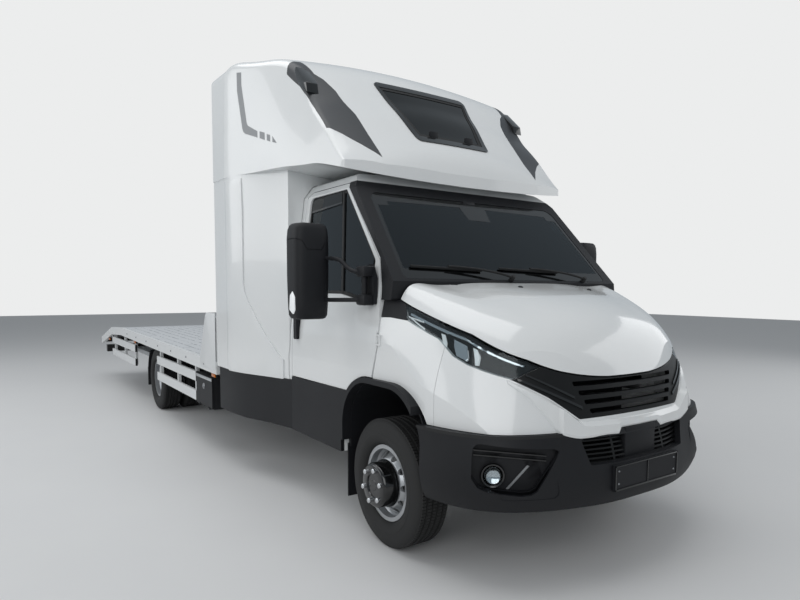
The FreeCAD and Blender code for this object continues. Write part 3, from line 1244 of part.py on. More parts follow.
def make_side_guards():
    """Double guard rails on posts, before and behind the rear wheels."""
    runs = [(-3095, -4700, 598, 414, (-3160, -3840, -4620)),
            (-5960, -7700, 626, 442, (-6060, -6800, -7600))]
    pieces = []
    for front, rear, upper, lower, posts in runs:
        y = GUARD_Y
        rails = [box((front, rear), (y - GUARD_THICKNESS, y), (z, z + GUARD_HEIGHT))
                 for z in (upper, lower)]
        stays = []
        for x in posts:
            top = deck_height(x) - RAIL_HEIGHT
            stays.append(box((x, x - POST_WIDTH), (y - GUARD_THICKNESS - 30, y - GUARD_THICKNESS),
                             (lower, top)))
            stays.append(box((x, x - POST_WIDTH), (y - GUARD_THICKNESS - 30, DECK_HALF_WIDTH - RAIL_WIDTH),
                             (top - 12, top + 50)))
        pieces += both_sides(fused(rails + stays))
    save("side_guards", pieces)


def make_toolboxes():
    """A tool box each side, with a lid that drops down."""
    y_to = GUARD_Y - LID_THICKNESS - 2
    rear = BOX_FRONT_X - BOX_LENGTH
    outer = box((BOX_FRONT_X, rear), (y_to - BOX_DEPTH, y_to), BOX_Z)
    inner = box((BOX_FRONT_X - BOX_WALL, rear + BOX_WALL), (y_to - BOX_DEPTH + BOX_WALL, y_to + 10),
                (BOX_Z[0] + BOX_WALL, BOX_Z[1] - BOX_WALL))
    brackets = [box((x, x - 40), (FRAME_HALF_WIDTH, y_to - BOX_DEPTH), (560, 600)) for x in
                (BOX_FRONT_X - 40, rear + 80)]
    axis_y = y_to + 2 + LID_THICKNESS
    axis_z = BOX_Z[0] + 6
    pins = []
    knuckles = []
    for x in (BOX_FRONT_X - 80, rear + 120):
        pins.append(rod((x + 8, axis_y, axis_z), (x - 40, axis_y, axis_z), LID_PIN_RADIUS))
        pins.append(prism_x([(axis_y + 6, axis_z + 6), (axis_y + 6, axis_z - 12), (y_to - 30, axis_z - 12),
                             (y_to - 30, BOX_Z[0] + 1), (y_to - 2, BOX_Z[0] + 1), (axis_y - 6, axis_z + 6)],
                            x, x + 8))
        knuckles.append(rod((x - 2, axis_y, axis_z), (x - 42, axis_y, axis_z), LID_PIN_RADIUS + 4))
    holes = [rod((x + 20, axis_y, axis_z), (x - 50, axis_y, axis_z), LID_PIN_RADIUS + FIT_GAP)
             for x in (BOX_FRONT_X - 80, rear + 120)]
    notches = [box((x + 14, x - 6), (y_to - 6, axis_y + 20), (axis_z - 20, axis_z + 12))
               for x in (BOX_FRONT_X - 80, rear + 120)]
    save("toolboxes", both_sides(fused([outer.cut(inner)] + brackets + pins)))
    lid = box((BOX_FRONT_X - 4, rear + 4), (y_to + 2, axis_y), (axis_z, BOX_Z[1] - 4))
    lid = fused([lid.cut(notches)] + knuckles).cut(holes)
    save("toolbox_lid_left", lid)
    save("toolbox_lid_right", mirrored(lid))


def make_tail():
    """Rear bar with its lamps, and the loading ramps stowed under the tail."""
    x = TAIL_X + 130
    bar = box((x, x + 90), (-1150, 1150), (430, 540))
    top = bearer_low(x + 20)
    stays = [box((x + 20, x + 60), (side * 372, side * 424), (540, top)) for side in (1, -1)]
    lamps = [box((x - 30, x), (side * 1120, side * 780), (445, 530)) for side in (1, -1)]
    shelf = [box((x + 90, x + 190), (side * 470, side * 830), (440, 455)) for side in (1, -1)]
    save("rear_bar", [fused([bar] + stays + lamps + shelf)] + ramp_hangers())
    ramps = []
    for side in (1, -1):
        rails = [box((-8250, -6350), (side * y, side * (y + 30)), (455, 515)) for y in (490, 770)]
        rungs = [box((-8240 + 118 * index, -8210 + 118 * index), (side * 520, side * 770), (470, 500))
                 for index in range(16)]
        ramps.append(fused(rails + rungs))
    save("loading_ramps", ramps)


def ramp_hangers():
    """Shelves off the side rails that hold the front ends of the stowed ramps."""
    shelf = box((-6500, -6450), (FRAME_HALF_WIDTH, 830), (440, 455))
    plate = box((-6500, -6450), (FRAME_HALF_WIDTH, FRAME_HALF_WIDTH + 8), (440, 620))
    return both_sides(fused([shelf, plate]))


os.makedirs("parts", exist_ok=True)
make_wheels()
make_front_suspension()
make_steering()
make_frame()
make_rear_axle()
make_powertrain()
make_tank_and_exhaust()
make_cab()
make_doors()
make_nose()
make_bumper()
make_flares()
make_pod()
make_interior()
make_wipers()
make_deck()
make_side_guards()
make_toolboxes()
make_tail()
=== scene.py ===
"""Visual model of a car transporter truck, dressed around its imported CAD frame."""

import json
import logging
import math
from collections.abc import Callable, Sequence
from dataclasses import dataclass
from enum import Enum

import bpy
from mathutils import Matrix, Vector

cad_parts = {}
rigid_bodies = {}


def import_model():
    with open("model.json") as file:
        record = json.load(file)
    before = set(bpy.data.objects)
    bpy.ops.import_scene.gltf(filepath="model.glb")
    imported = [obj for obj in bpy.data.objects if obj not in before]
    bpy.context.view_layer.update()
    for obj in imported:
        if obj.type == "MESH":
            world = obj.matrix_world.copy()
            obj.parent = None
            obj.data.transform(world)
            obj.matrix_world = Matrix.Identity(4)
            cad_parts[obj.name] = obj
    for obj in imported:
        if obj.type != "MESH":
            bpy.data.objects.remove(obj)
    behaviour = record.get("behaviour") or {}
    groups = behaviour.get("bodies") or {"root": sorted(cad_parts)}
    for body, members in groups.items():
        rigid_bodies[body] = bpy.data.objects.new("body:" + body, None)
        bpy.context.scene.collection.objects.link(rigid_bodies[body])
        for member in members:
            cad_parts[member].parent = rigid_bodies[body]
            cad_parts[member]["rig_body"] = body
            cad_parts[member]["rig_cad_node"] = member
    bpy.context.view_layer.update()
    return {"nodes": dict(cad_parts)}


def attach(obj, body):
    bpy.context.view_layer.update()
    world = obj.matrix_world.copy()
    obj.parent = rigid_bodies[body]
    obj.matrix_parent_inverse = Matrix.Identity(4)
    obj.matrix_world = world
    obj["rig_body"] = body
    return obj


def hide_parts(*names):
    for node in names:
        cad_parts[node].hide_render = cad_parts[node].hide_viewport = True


Point = tuple[float, float, float]
Flat = tuple[float, float]
Piece = bpy.types.Object
Tree = bpy.types.NodeTree
Socket = bpy.types.NodeSocket

LOG = logging.getLogger("truck")
FRONT_AXLE_X = 3.72
REAR_AXLE_X = -1.38
IMAGE_WIDTH = 800
FULL_TURN = 2 * math.pi
SIDES: dict[str, int] = {"left": 1, "right": -1}
# A place ahead of the whole nose, measured from the front axle
AHEAD = 1.5
# Points of one mesh that are closer than this, in metres, become one
MERGE = 1e-5
# Anything shorter than this, in metres, counts as nothing
TINY = 1e-6
# Blender's wave texture at a scale of 1 repeats after this length
WAVE_MM = 314.0


def at(x: float, y: float, z: float) -> Point:
    """Turn a place measured from the front axle into the frame's own place."""
    return (FRONT_AXLE_X + x, y, z)


def linear(colour: str, alpha: float = 1.0) -> tuple[float, float, float, float]:
    """Turn an sRGB hex colour into linear values.

    Args:
        colour: Six hex digits after a hash.
        alpha: Fourth value of the result.

    Returns:
        Red, green, blue and alpha for a colour socket.
    """
    parts = [int(colour[i:i + 2], 16) / 255 for i in (1, 3, 5)]
    lines = [v / 12.92 if v <= 0.04045 else ((v + 0.055) / 1.055) ** 2.4 for v in parts]
    return (lines[0], lines[1], lines[2], alpha)


def add_node(tree: Tree, kind: str, settings: dict | None = None,
             links: dict | None = None) -> bpy.types.Node:
    """Add one node with its settings and the links into it.

    Args:
        tree: Node tree of a material or the world.
        kind: Blender's name of the node type.
        settings: Values of inputs (by name or number) or properties of the node.
        links: Output sockets by the input that each feeds.

    Returns:
        The new node.
    """
    node = tree.nodes.new(kind)
    for key, value in (settings or {}).items():
        if isinstance(key, int) or key in node.inputs:
            node.inputs[key].default_value = value
        else:
            setattr(node, key, value)
    for key, socket in (links or {}).items():
        tree.links.new(socket, node.inputs[key])
    return node


@dataclass(frozen=True)
class Finish:
    """A real surface: what it is made of and how it shines.

    Colours are sRGB hex. The grain is a relief of noise whose size is in millimetres.
    """

    name: str
    colour: str
    roughness: float
    metallic: float = 0.0
    ior: float = 1.5
    coat: float = 0.0
    transmission: float = 0.0
    emission: float = 0.0
    second: str = ""
    patch_mm: float = 400.0
    grain_mm: float = 0.0
    grain_depth_mm: float = 0.05
    rough_spread: float = 0.05

    def shader(self, tree: Tree) -> bpy.types.Node:
        """Add the main shader with the values that are the same all over.

        Args:
            tree: The material's node tree.

        Returns:
            The shader's node.
        """
        return add_node(tree, "ShaderNodeBsdfPrincipled", {
            "Base Color": linear(self.colour), "Roughness": self.roughness,
            "Metallic": self.metallic, "IOR": self.ior, "Coat Weight": self.coat,
            "Coat Roughness": 0.04, "Transmission Weight": self.transmission,
            "Emission Color": linear(self.colour), "Emission Strength": self.emission})

    def relief(self, tree: Tree, place: Socket) -> Socket | None:
        """Give the height pattern of the surface, or nothing where it is smooth.

        Args:
            tree: The material's node tree.
            place: Places on the object, in metres.

        Returns:
            Heights from 0 to 1, or nothing.
        """
        if not self.grain_mm:
            return None
        noise = add_node(tree, "ShaderNodeTexNoise", {"Scale": 1000 / self.grain_mm, "Detail": 3.0},
                         {"Vector": place})
        return noise.outputs["Fac"]

    def tone(self, tree: Tree, place: Socket) -> Socket:
        """Give a slow variation from 0 to 1 over the surface.

        Args:
            tree: The material's node tree.
            place: Places on the object, in metres.

        Returns:
            The share of the second colour.
        """
        noise = add_node(tree, "ShaderNodeTexNoise", {"Scale": 1000 / self.patch_mm, "Detail": 4.0},
                         {"Vector": place})
        return noise.outputs["Fac"]

    def make(self) -> bpy.types.Material:
        """Build the material once and give the same one afterwards.

        Returns:
            The Blender material of this finish.
        """
        ready = bpy.data.materials.get(self.name)
        if ready:
            return ready
        material = bpy.data.materials.new(self.name)
        material.use_nodes = True
        tree = material.node_tree
        tree.nodes.clear()
        place = add_node(tree, "ShaderNodeTexCoord").outputs["Object"]
        shader = self.shader(tree)
        tone = self.tone(tree, place)
        mix = add_node(tree, "ShaderNodeMix", {"data_type": "RGBA", 6: linear(self.colour),
                                               7: linear(self.second or self.colour)}, {0: tone})
        tree.links.new(mix.outputs[2], shader.inputs["Base Color"])
        spread = add_node(tree, "ShaderNodeMapRange", {
            "To Min": max(0.01, self.roughness - self.rough_spread),
            "To Max": min(1.0, self.roughness + self.rough_spread)}, {"Value": tone})
        tree.links.new(spread.outputs["Result"], shader.inputs["Roughness"])
        height = self.relief(tree, place)
        if height:
            bump = add_node(tree, "ShaderNodeBump", {"Distance": self.grain_depth_mm / 1000},
                            {"Height": height})
            tree.links.new(bump.outputs["Normal"], shader.inputs["Normal"])
        add_node(tree, "ShaderNodeOutputMaterial", None, {"Surface": self.surface(tree, shader)})
        return material

    def surface(self, tree: Tree, shader: bpy.types.Node) -> Socket:
        """Give what the material puts out."""
        return shader.outputs["BSDF"]


@dataclass(frozen=True)
class Glazing(Finish):
    """A thin pane: light goes straight through its tint, and it mirrors more at a flat angle."""

    tint: str = "#ffffff"

    def surface(self, tree: Tree, shader: bpy.types.Node) -> Socket:
        """Mix the clear pane with its mirror by the angle of view.

        Args:
            tree: The material's node tree.
            shader: The node of the mirror.

        Returns:
            The mixed surface.
        """
        clear = add_node(tree, "ShaderNodeBsdfTransparent", {"Color": linear(self.tint)})
        angle = add_node(tree, "ShaderNodeFresnel", {"IOR": self.ior})
        mix = add_node(tree, "ShaderNodeMixShader", None, {
            0: angle.outputs["Fac"], 1: clear.outputs["BSDF"], 2: shader.outputs["BSDF"]})
        return mix.outputs["Shader"]


@dataclass(frozen=True)
class Planks(Finish):
    """Extruded aluminium deck planks with a pressed anti-slip pattern."""

    pitch_mm: float = 22.0
    plank_mm: float = 205.0

    def relief(self, tree: Tree, place: Socket) -> Socket:
        """Raise lozenges in rows, parted by a groove between planks.

        Args:
            tree: The material's node tree.
            place: Places on the object, in metres.

        Returns:
            Heights, 0 in the grooves and 2 on the studs.
        """
        turned = add_node(tree, "ShaderNodeMapping", {"Rotation": (0, 0, math.radians(45)), "Scale": (
            1000 / self.pitch_mm, 1000 / self.pitch_mm, 0)}, {"Vector": place})
        cells = add_node(tree, "ShaderNodeTexVoronoi", {"Scale": 1.0, "Randomness": 0.0, "feature": "F1"},
                         {"Vector": turned.outputs["Vector"]})
        studs = add_node(tree, "ShaderNodeMapRange", {"From Min": 0.42, "From Max": 0.2},
                         {"Value": cells.outputs["Distance"]})
        parts = add_node(tree, "ShaderNodeSeparateXYZ", None, {"Vector": place})
        run = add_node(tree, "ShaderNodeMath", {"operation": "PINGPONG", 1: self.plank_mm / 2000},
                       {0: parts.outputs["Y"]})
        groove = add_node(tree, "ShaderNodeMath", {"operation": "GREATER_THAN", 1: 0.004},
                          {0: run.outputs["Value"]})
        both = add_node(tree, "ShaderNodeMath", {"operation": "MULTIPLY_ADD", 2: 0.0},
                        {0: studs.outputs["Result"], 1: groove.outputs["Value"]})
        return add_node(tree, "ShaderNodeMath", {"operation": "ADD"}, {
            0: both.outputs["Value"], 1: groove.outputs["Value"]}).outputs["Value"]

    def tone(self, tree: Tree, place: Socket) -> Socket:
        """Darken the joints of the planks in dashes.

        Args:
            tree: The material's node tree.
            place: Places on the object, in metres.

        Returns:
            The share of dirt.
        """
        planks = add_node(tree, "ShaderNodeTexBrick", {
            "Scale": 1.0, "Mortar Size": 0.007, "Mortar Smooth": 0.3, "Brick Width": 0.55,
            "Row Height": self.plank_mm / 2000}, {"Vector": place})
        noise = add_node(tree, "ShaderNodeTexNoise", {"Scale": 1000 / self.patch_mm, "Detail": 2.0},
                         {"Vector": place})
        dashes = add_node(tree, "ShaderNodeMapRange", {"From Min": 0.42, "From Max": 0.55},
                          {"Value": noise.outputs["Fac"]})
        return add_node(tree, "ShaderNodeMath", {"operation": "MULTIPLY"}, {
            0: planks.outputs["Fac"], 1: dashes.outputs["Result"]}).outputs["Value"]


@dataclass(frozen=True)
class Brushed(Finish):
    """Metal with fine lines along the truck, as it was rolled or drawn."""

    along: float = 8

    def relief(self, tree: Tree, place: Socket) -> Socket:
        """Draw lines that run along the length.

        Args:
            tree: The material's node tree.
            place: Places on the object, in metres.

        Returns:
            Heights from 0 to 1.
        """
        fine = 1000 / self.grain_mm
        lines = add_node(tree, "ShaderNodeMapping", {"Scale": (self.along, fine, fine)}, {"Vector": place})
        return add_node(tree, "ShaderNodeTexNoise", {"Scale": 1.0, "Detail": 2.0},
                        {"Vector": lines.outputs["Vector"]}).outputs["Fac"]


@dataclass(frozen=True)
class Woven(Finish):
    """Cloth of crossed threads, drawn in bundles because one thread is too fine to show."""

    bundle: float = 10

    def relief(self, tree: Tree, place: Socket) -> Socket:
        """Draw threads over and under, from two crossed waves.

        Args:
            tree: The material's node tree.
            place: Places on the object, in metres.

        Returns:
            Heights from 0 to 1.
        """
        waves = [add_node(tree, "ShaderNodeTexWave", {"Scale": WAVE_MM / self.grain_mm / self.bundle,
                                                      "bands_direction": way, "Distortion": 0.4},
                          {"Vector": place}).outputs["Fac"] for way in ("Y", "DIAGONAL")]
        return add_node(tree, "ShaderNodeMath", {"operation": "MULTIPLY"},
                        {0: waves[0], 1: waves[1]}).outputs["Value"]


class Look(Enum):
    """The finishes of the truck."""

    # Two coats of enamel on sheet metal: clear gloss over a faint cool white
    PAINT = Finish("white_enamel_paint", "#dfe2e3", 0.16, coat=0.6, second="#e4e6e6",
                   grain_mm=9.0, grain_depth_mm=0.012)
    # Sprayed glass-fibre moulding: gloss, a little more wavy than the sheet metal
    GELCOAT = Finish("white_gelcoat", "#dfe2e3", 0.2, coat=0.5, second="#e3e5e5",
                     grain_mm=16.0, grain_depth_mm=0.02)
    # Polypropylene from a grained mould: dull and pebbled
    GRAINED = Finish("grained_polypropylene", "#121316", 0.55, second="#17181c", ior=1.38,
                     grain_mm=1.6, grain_depth_mm=0.12)
    # Polished ABS: deep black with sharp lights
    PIANO = Finish("gloss_black_abs", "#0a0b0c", 0.12, second="#0d0e0f", coat=0.4)
    # Satin ABS of air intakes: black without a sharp light
    SATIN = Finish("satin_black_abs", "#08090a", 0.42, second="#0b0c0d", ior=1.36)
    # Satin film on the moulding, flat and dark grey
    FILM = Finish("dark_grey_vinyl_film", "#2b2d30", 0.35, second="#303236")
    # The same film in mid grey
    SHADE_FILM = Finish("mid_grey_vinyl_film", "#85888b", 0.35, second="#8b8e90")
    # Rubber from a steel mould: dull dark grey with a fine skin
    RUBBER = Finish("moulded_tyre_rubber", "#191919", 0.78, second="#202020", ior=1.52,
                    grain_mm=2.2, grain_depth_mm=0.08)
    # Extruded rubber: black and dull
    SEAL = Finish("epdm_rubber_seal", "#101011", 0.7, ior=1.52, grain_mm=1.2)
    # Silver lacquer over pressed steel: a soft metal shine
    WHEEL = Finish("silver_wheel_lacquer", "#a7aaad", 0.34, metallic=0.7, second="#b4b6b8",
                   grain_mm=1.0, grain_depth_mm=0.02)
    # Dipped enamel: half-gloss black, uneven over the steel
    CHASSIS = Finish("black_chassis_enamel", "#141516", 0.42, second="#1b1b1c", grain_mm=4.0)
    # Sand-cast iron: rough and dark grey
    IRON = Finish("cast_iron", "#4b4c4e", 0.6, metallic=0.5, second="#3c3b3a", grain_mm=3.0,
                  grain_depth_mm=0.2)
    # Rolled stainless sheet: grey, its fine lines drawn coarser than real so that they show
    STAINLESS = Brushed("rolled_stainless_steel", "#9a9b9c", 0.33, metallic=1.0, second="#8d8c8a",
                        grain_mm=0.6)
    # Anodised extrusions: pale, with soft lines from the die
    ANODISED = Brushed("anodised_aluminium", "#c9cbcd", 0.34, metallic=0.9, second="#bfc2c4",
                       grain_mm=0.5, grain_depth_mm=0.02)
    # Pressed deck planks: pale and dull, with dark joints
    PLANKS = Planks("pressed_aluminium_planks", "#d9dbdd", 0.45, metallic=0.3, second="#7f8489",
                    grain_mm=22.0, grain_depth_mm=0.8, patch_mm=60)
    # Powder coat over steel: even satin white
    WHITE_STEEL = Finish("white_powder_coat", "#dcdedf", 0.38, second="#d2d5d6", grain_mm=2.0)
    # Laminated panes: a grey tint under a clear mirror
    SCREEN = Glazing("laminated_glass", "#dfe8ee", 0.03, metallic=1.0, ior=1.5, rough_spread=0.005,
                     tint="#8f9a9f")
    # Dyed acrylic of the roof window: almost black with sharp lights
    TINTED = Finish("dark_tinted_glass", "#0c0f11", 0.04, ior=1.38, rough_spread=0.01)
    # Moulded lamp covers: clear, with a thin mirror
    LENS = Glazing("clear_polycarbonate", "#eef3f5", 0.08, metallic=1.0, ior=1.3, rough_spread=0.01,
                   tint="#f2f5f6")
    # Chromed nuts and reflectors: a bright mirror
    CHROME = Finish("bright_chrome", "#d6d8da", 0.07, metallic=1.0, second="#cfd1d3")
    # Milky acrylic, pale, with a faint emission that is a painted glow
    LIGHT_GUIDE = Finish("milky_light_guide_painted_glow", "#f3f6f7", 0.25, transmission=0.2, emission=0.25)
    # Dyed acrylic lenses: clear colour with sharp lights
    AMBER = Finish("amber_acrylic", "#d9770e", 0.15, transmission=0.3, ior=1.49)
    RED = Finish("red_acrylic", "#a3121a", 0.15, transmission=0.3, ior=1.49)
    # Woven seat covers: dark and matt
    CLOTH = Woven("woven_seat_cloth", "#232427", 0.9, second="#2b2c30", grain_mm=6.0, grain_depth_mm=0.6)
    # Soft moulded skin of the dashboard: black with a fine grain
    SOFT_TRIM = Finish("slush_moulded_pvc", "#232425", 0.62, grain_mm=1.5, grain_depth_mm=0.15)
    # Zinc plating: dull silver
    NUTS = Finish("zinc_plated_steel", "#8b8d90", 0.35, metallic=1.0, second="#7a7b7d")
    # Silver behind flat glass: a clean mirror
    MIRROR = Finish("silvered_mirror", "#e6eaec", 0.02, metallic=1.0)
    # Painted radiator fins, with fine lines: their near black is partly the paint and partly painted shade
    # behind the grille
    CORE = Brushed("radiator_core", "#08090a", 0.7, second="#0b0c0d", ior=1.3, grain_mm=2.5,
                   grain_depth_mm=0.6)
    # Felt of the cab's lining: grey and matt
    LINING = Woven("needled_lining_felt", "#55585c", 0.95, second="#5e6165", grain_mm=4.0,
                   grain_depth_mm=0.3)
    # Mattress cover: pale and matt
    TICKING = Woven("quilted_mattress_cloth", "#b9bdc2", 0.9, second="#c3c7cb", grain_mm=5.0,
                    grain_depth_mm=0.4)

    def make(self) -> bpy.types.Material:
        """Build or find this look's material."""
        return self.value.make()


NODE_LOOKS: dict[str, Look] = {
    "chassis_frame": Look.CHASSIS, "front_suspension": Look.CHASSIS, "rear_axle": Look.CHASSIS,
    "powertrain": Look.IRON, "tank_and_exhaust": Look.STAINLESS, "cab_shell": Look.PAINT,
    "windscreen": Look.SCREEN, "cowl_trim": Look.GRAINED, "front_panels": Look.PAINT,
    "headlamps": Look.LENS, "grille": Look.SATIN, "wing_trims": Look.GRAINED,
    "front_bumper": Look.GRAINED, "lower_grille": Look.SATIN, "mudguards": Look.GRAINED,
    "pod_shell": Look.GELCOAT, "roof_window": Look.TINTED, "pod_skirts": Look.GRAINED,
    "marker_lamps": Look.PIANO, "dashboard": Look.SOFT_TRIM, "seats_and_bunk": Look.CLOTH,
    "wipers": Look.SEAL, "deck_floor": Look.PLANKS, "deck_rails": Look.WHITE_STEEL,
    "deck_frame": Look.CHASSIS, "side_guards": Look.WHITE_STEEL, "toolboxes": Look.GRAINED,
    "rear_bar": Look.CHASSIS, "loading_ramps": Look.ANODISED,
    "tyre_front_left": Look.RUBBER, "tyre_front_right": Look.RUBBER, "tyres_rear_left": Look.RUBBER,
    "tyres_rear_right": Look.RUBBER, "rim_front_left": Look.WHEEL, "rim_front_right": Look.WHEEL,
    "rims_rear_left": Look.WHEEL, "rims_rear_right": Look.WHEEL, "knuckle_left": Look.IRON,
    "knuckle_right": Look.IRON, "track_rod": Look.CHASSIS, "steering_wheel": Look.SOFT_TRIM,
    "door_left_shell": Look.PAINT, "door_right_shell": Look.PAINT, "door_left_glass": Look.SCREEN,
    "door_right_glass": Look.SCREEN, "door_left_trim": Look.GRAINED, "door_right_trim": Look.GRAINED,
    "bonnet": Look.PAINT, "toolbox_lid_left": Look.GRAINED, "toolbox_lid_right": Look.GRAINED}


@dataclass(frozen=True)
class SoftLamp:
    """One soft rectangular lamp: its place, the point that it looks at, its size and its watts."""

    place: Point
    aim: Point
    size: Flat
    power: float

    def hang(self) -> None:
        """Hang the lamp and turn it to its aim."""
        bpy.ops.object.light_add(type="AREA", location=self.place)
        lamp = bpy.context.object
        lamp.data.shape = "RECTANGLE"
        lamp.data.size, lamp.data.size_y = self.size
        lamp.data.energy = self.power
        way = Vector(self.aim) - Vector(self.place)
        lamp.rotation_euler = way.to_track_quat("-Z", "Y").to_euler()


@dataclass
class Studio:
    """Camera at the photograph's angle, pale floor and soft lamps."""

    eye: Point = (6.737, -2.797, 1.496)
    yaw_deg: float = 143.58
    pitch_deg: float = -4.11
    roll_deg: float = 0.38
    focal_px: float = 623.1
    centre_px: Flat = (39.5, 32.7)
    sensor_mm: float = 36.0
    floor_size: float = 60.0
    lamps: tuple[SoftLamp, ...] = (
        SoftLamp((1.0, -2.6, 8.5), (-0.5, 0.0, 0.0), (12.0, 5.0), 360),
        SoftLamp((10.5, -7.5, 5.0), (3.0, 0.0, 1.4), (9.0, 6.0), 300),
        SoftLamp((-3.0, -9.5, 4.5), (0.0, 0.0, 1.2), (11.0, 5.0), 230),
        SoftLamp((6.0, 9.0, 5.0), (2.0, 0.0, 1.2), (10.0, 5.0), 190))

    def camera(self) -> None:
        """Place the camera where the photograph was taken from."""
        yaw, pitch, roll = (math.radians(v) for v in (self.yaw_deg, self.pitch_deg, self.roll_deg))
        ahead = Vector((math.cos(pitch) * math.cos(yaw), math.cos(pitch) * math.sin(yaw), math.sin(pitch)))
        right = ahead.cross(Vector((0, 0, 1))).normalized()
        above = right.cross(ahead)
        side = right * math.cos(roll) + above * math.sin(roll)
        top = above * math.cos(roll) - right * math.sin(roll)
        turn = Matrix((side, top, -ahead)).transposed().to_4x4()
        bpy.ops.object.camera_add()
        camera = bpy.context.object
        camera.matrix_world = Matrix.Translation(self.eye) @ turn
        camera.data.sensor_width = self.sensor_mm
        camera.data.lens = self.focal_px * self.sensor_mm / IMAGE_WIDTH
        camera.data.shift_x = -self.centre_px[0] / IMAGE_WIDTH
        camera.data.shift_y = self.centre_px[1] / IMAGE_WIDTH
        bpy.context.scene.camera = camera

    def floor(self) -> None:
        """Lay a pale floor, which takes the truck's shadow."""
        bpy.ops.mesh.primitive_plane_add(size=self.floor_size)
        floor = bpy.context.object
        floor.name = "studio_floor"
        paint = Finish("pale_studio_floor", "#d9dadb", 0.7, second="#dcdddd")
        floor.data.materials.append(paint.make())

    def world(self) -> None:
        """Fill the shadows with pale air, brighter where the camera or a mirror sees it."""
        world = bpy.data.worlds.new("studio_air")
        bpy.context.scene.world = world
        world.use_nodes = True
        tree = world.node_tree
        tree.nodes.clear()
        seen = add_node(tree, "ShaderNodeLightPath")
        air, back, shine = (
            add_node(tree, "ShaderNodeBackground", {"Color": linear(colour), "Strength": strength})
            for colour, strength in (("#d4d8dc", 0.42), ("#eceded", 1.0), ("#ccd6de", 0.6)))
        mirrored = add_node(tree, "ShaderNodeMixShader", None, {
            0: seen.outputs["Is Glossy Ray"], 1: air.outputs[0], 2: shine.outputs[0]})
        pick = add_node(tree, "ShaderNodeMixShader", None, {
            0: seen.outputs["Is Camera Ray"], 1: mirrored.outputs[0], 2: back.outputs[0]})
        add_node(tree, "ShaderNodeOutputWorld", None, {"Surface": pick.outputs[0]})

    def build(self) -> None:
        """Set up the whole studio."""
        bpy.context.scene.view_settings.view_transform = "Standard"
        self.camera()
        self.floor()
        self.world()
        for lamp in self.lamps:
            lamp.hang()


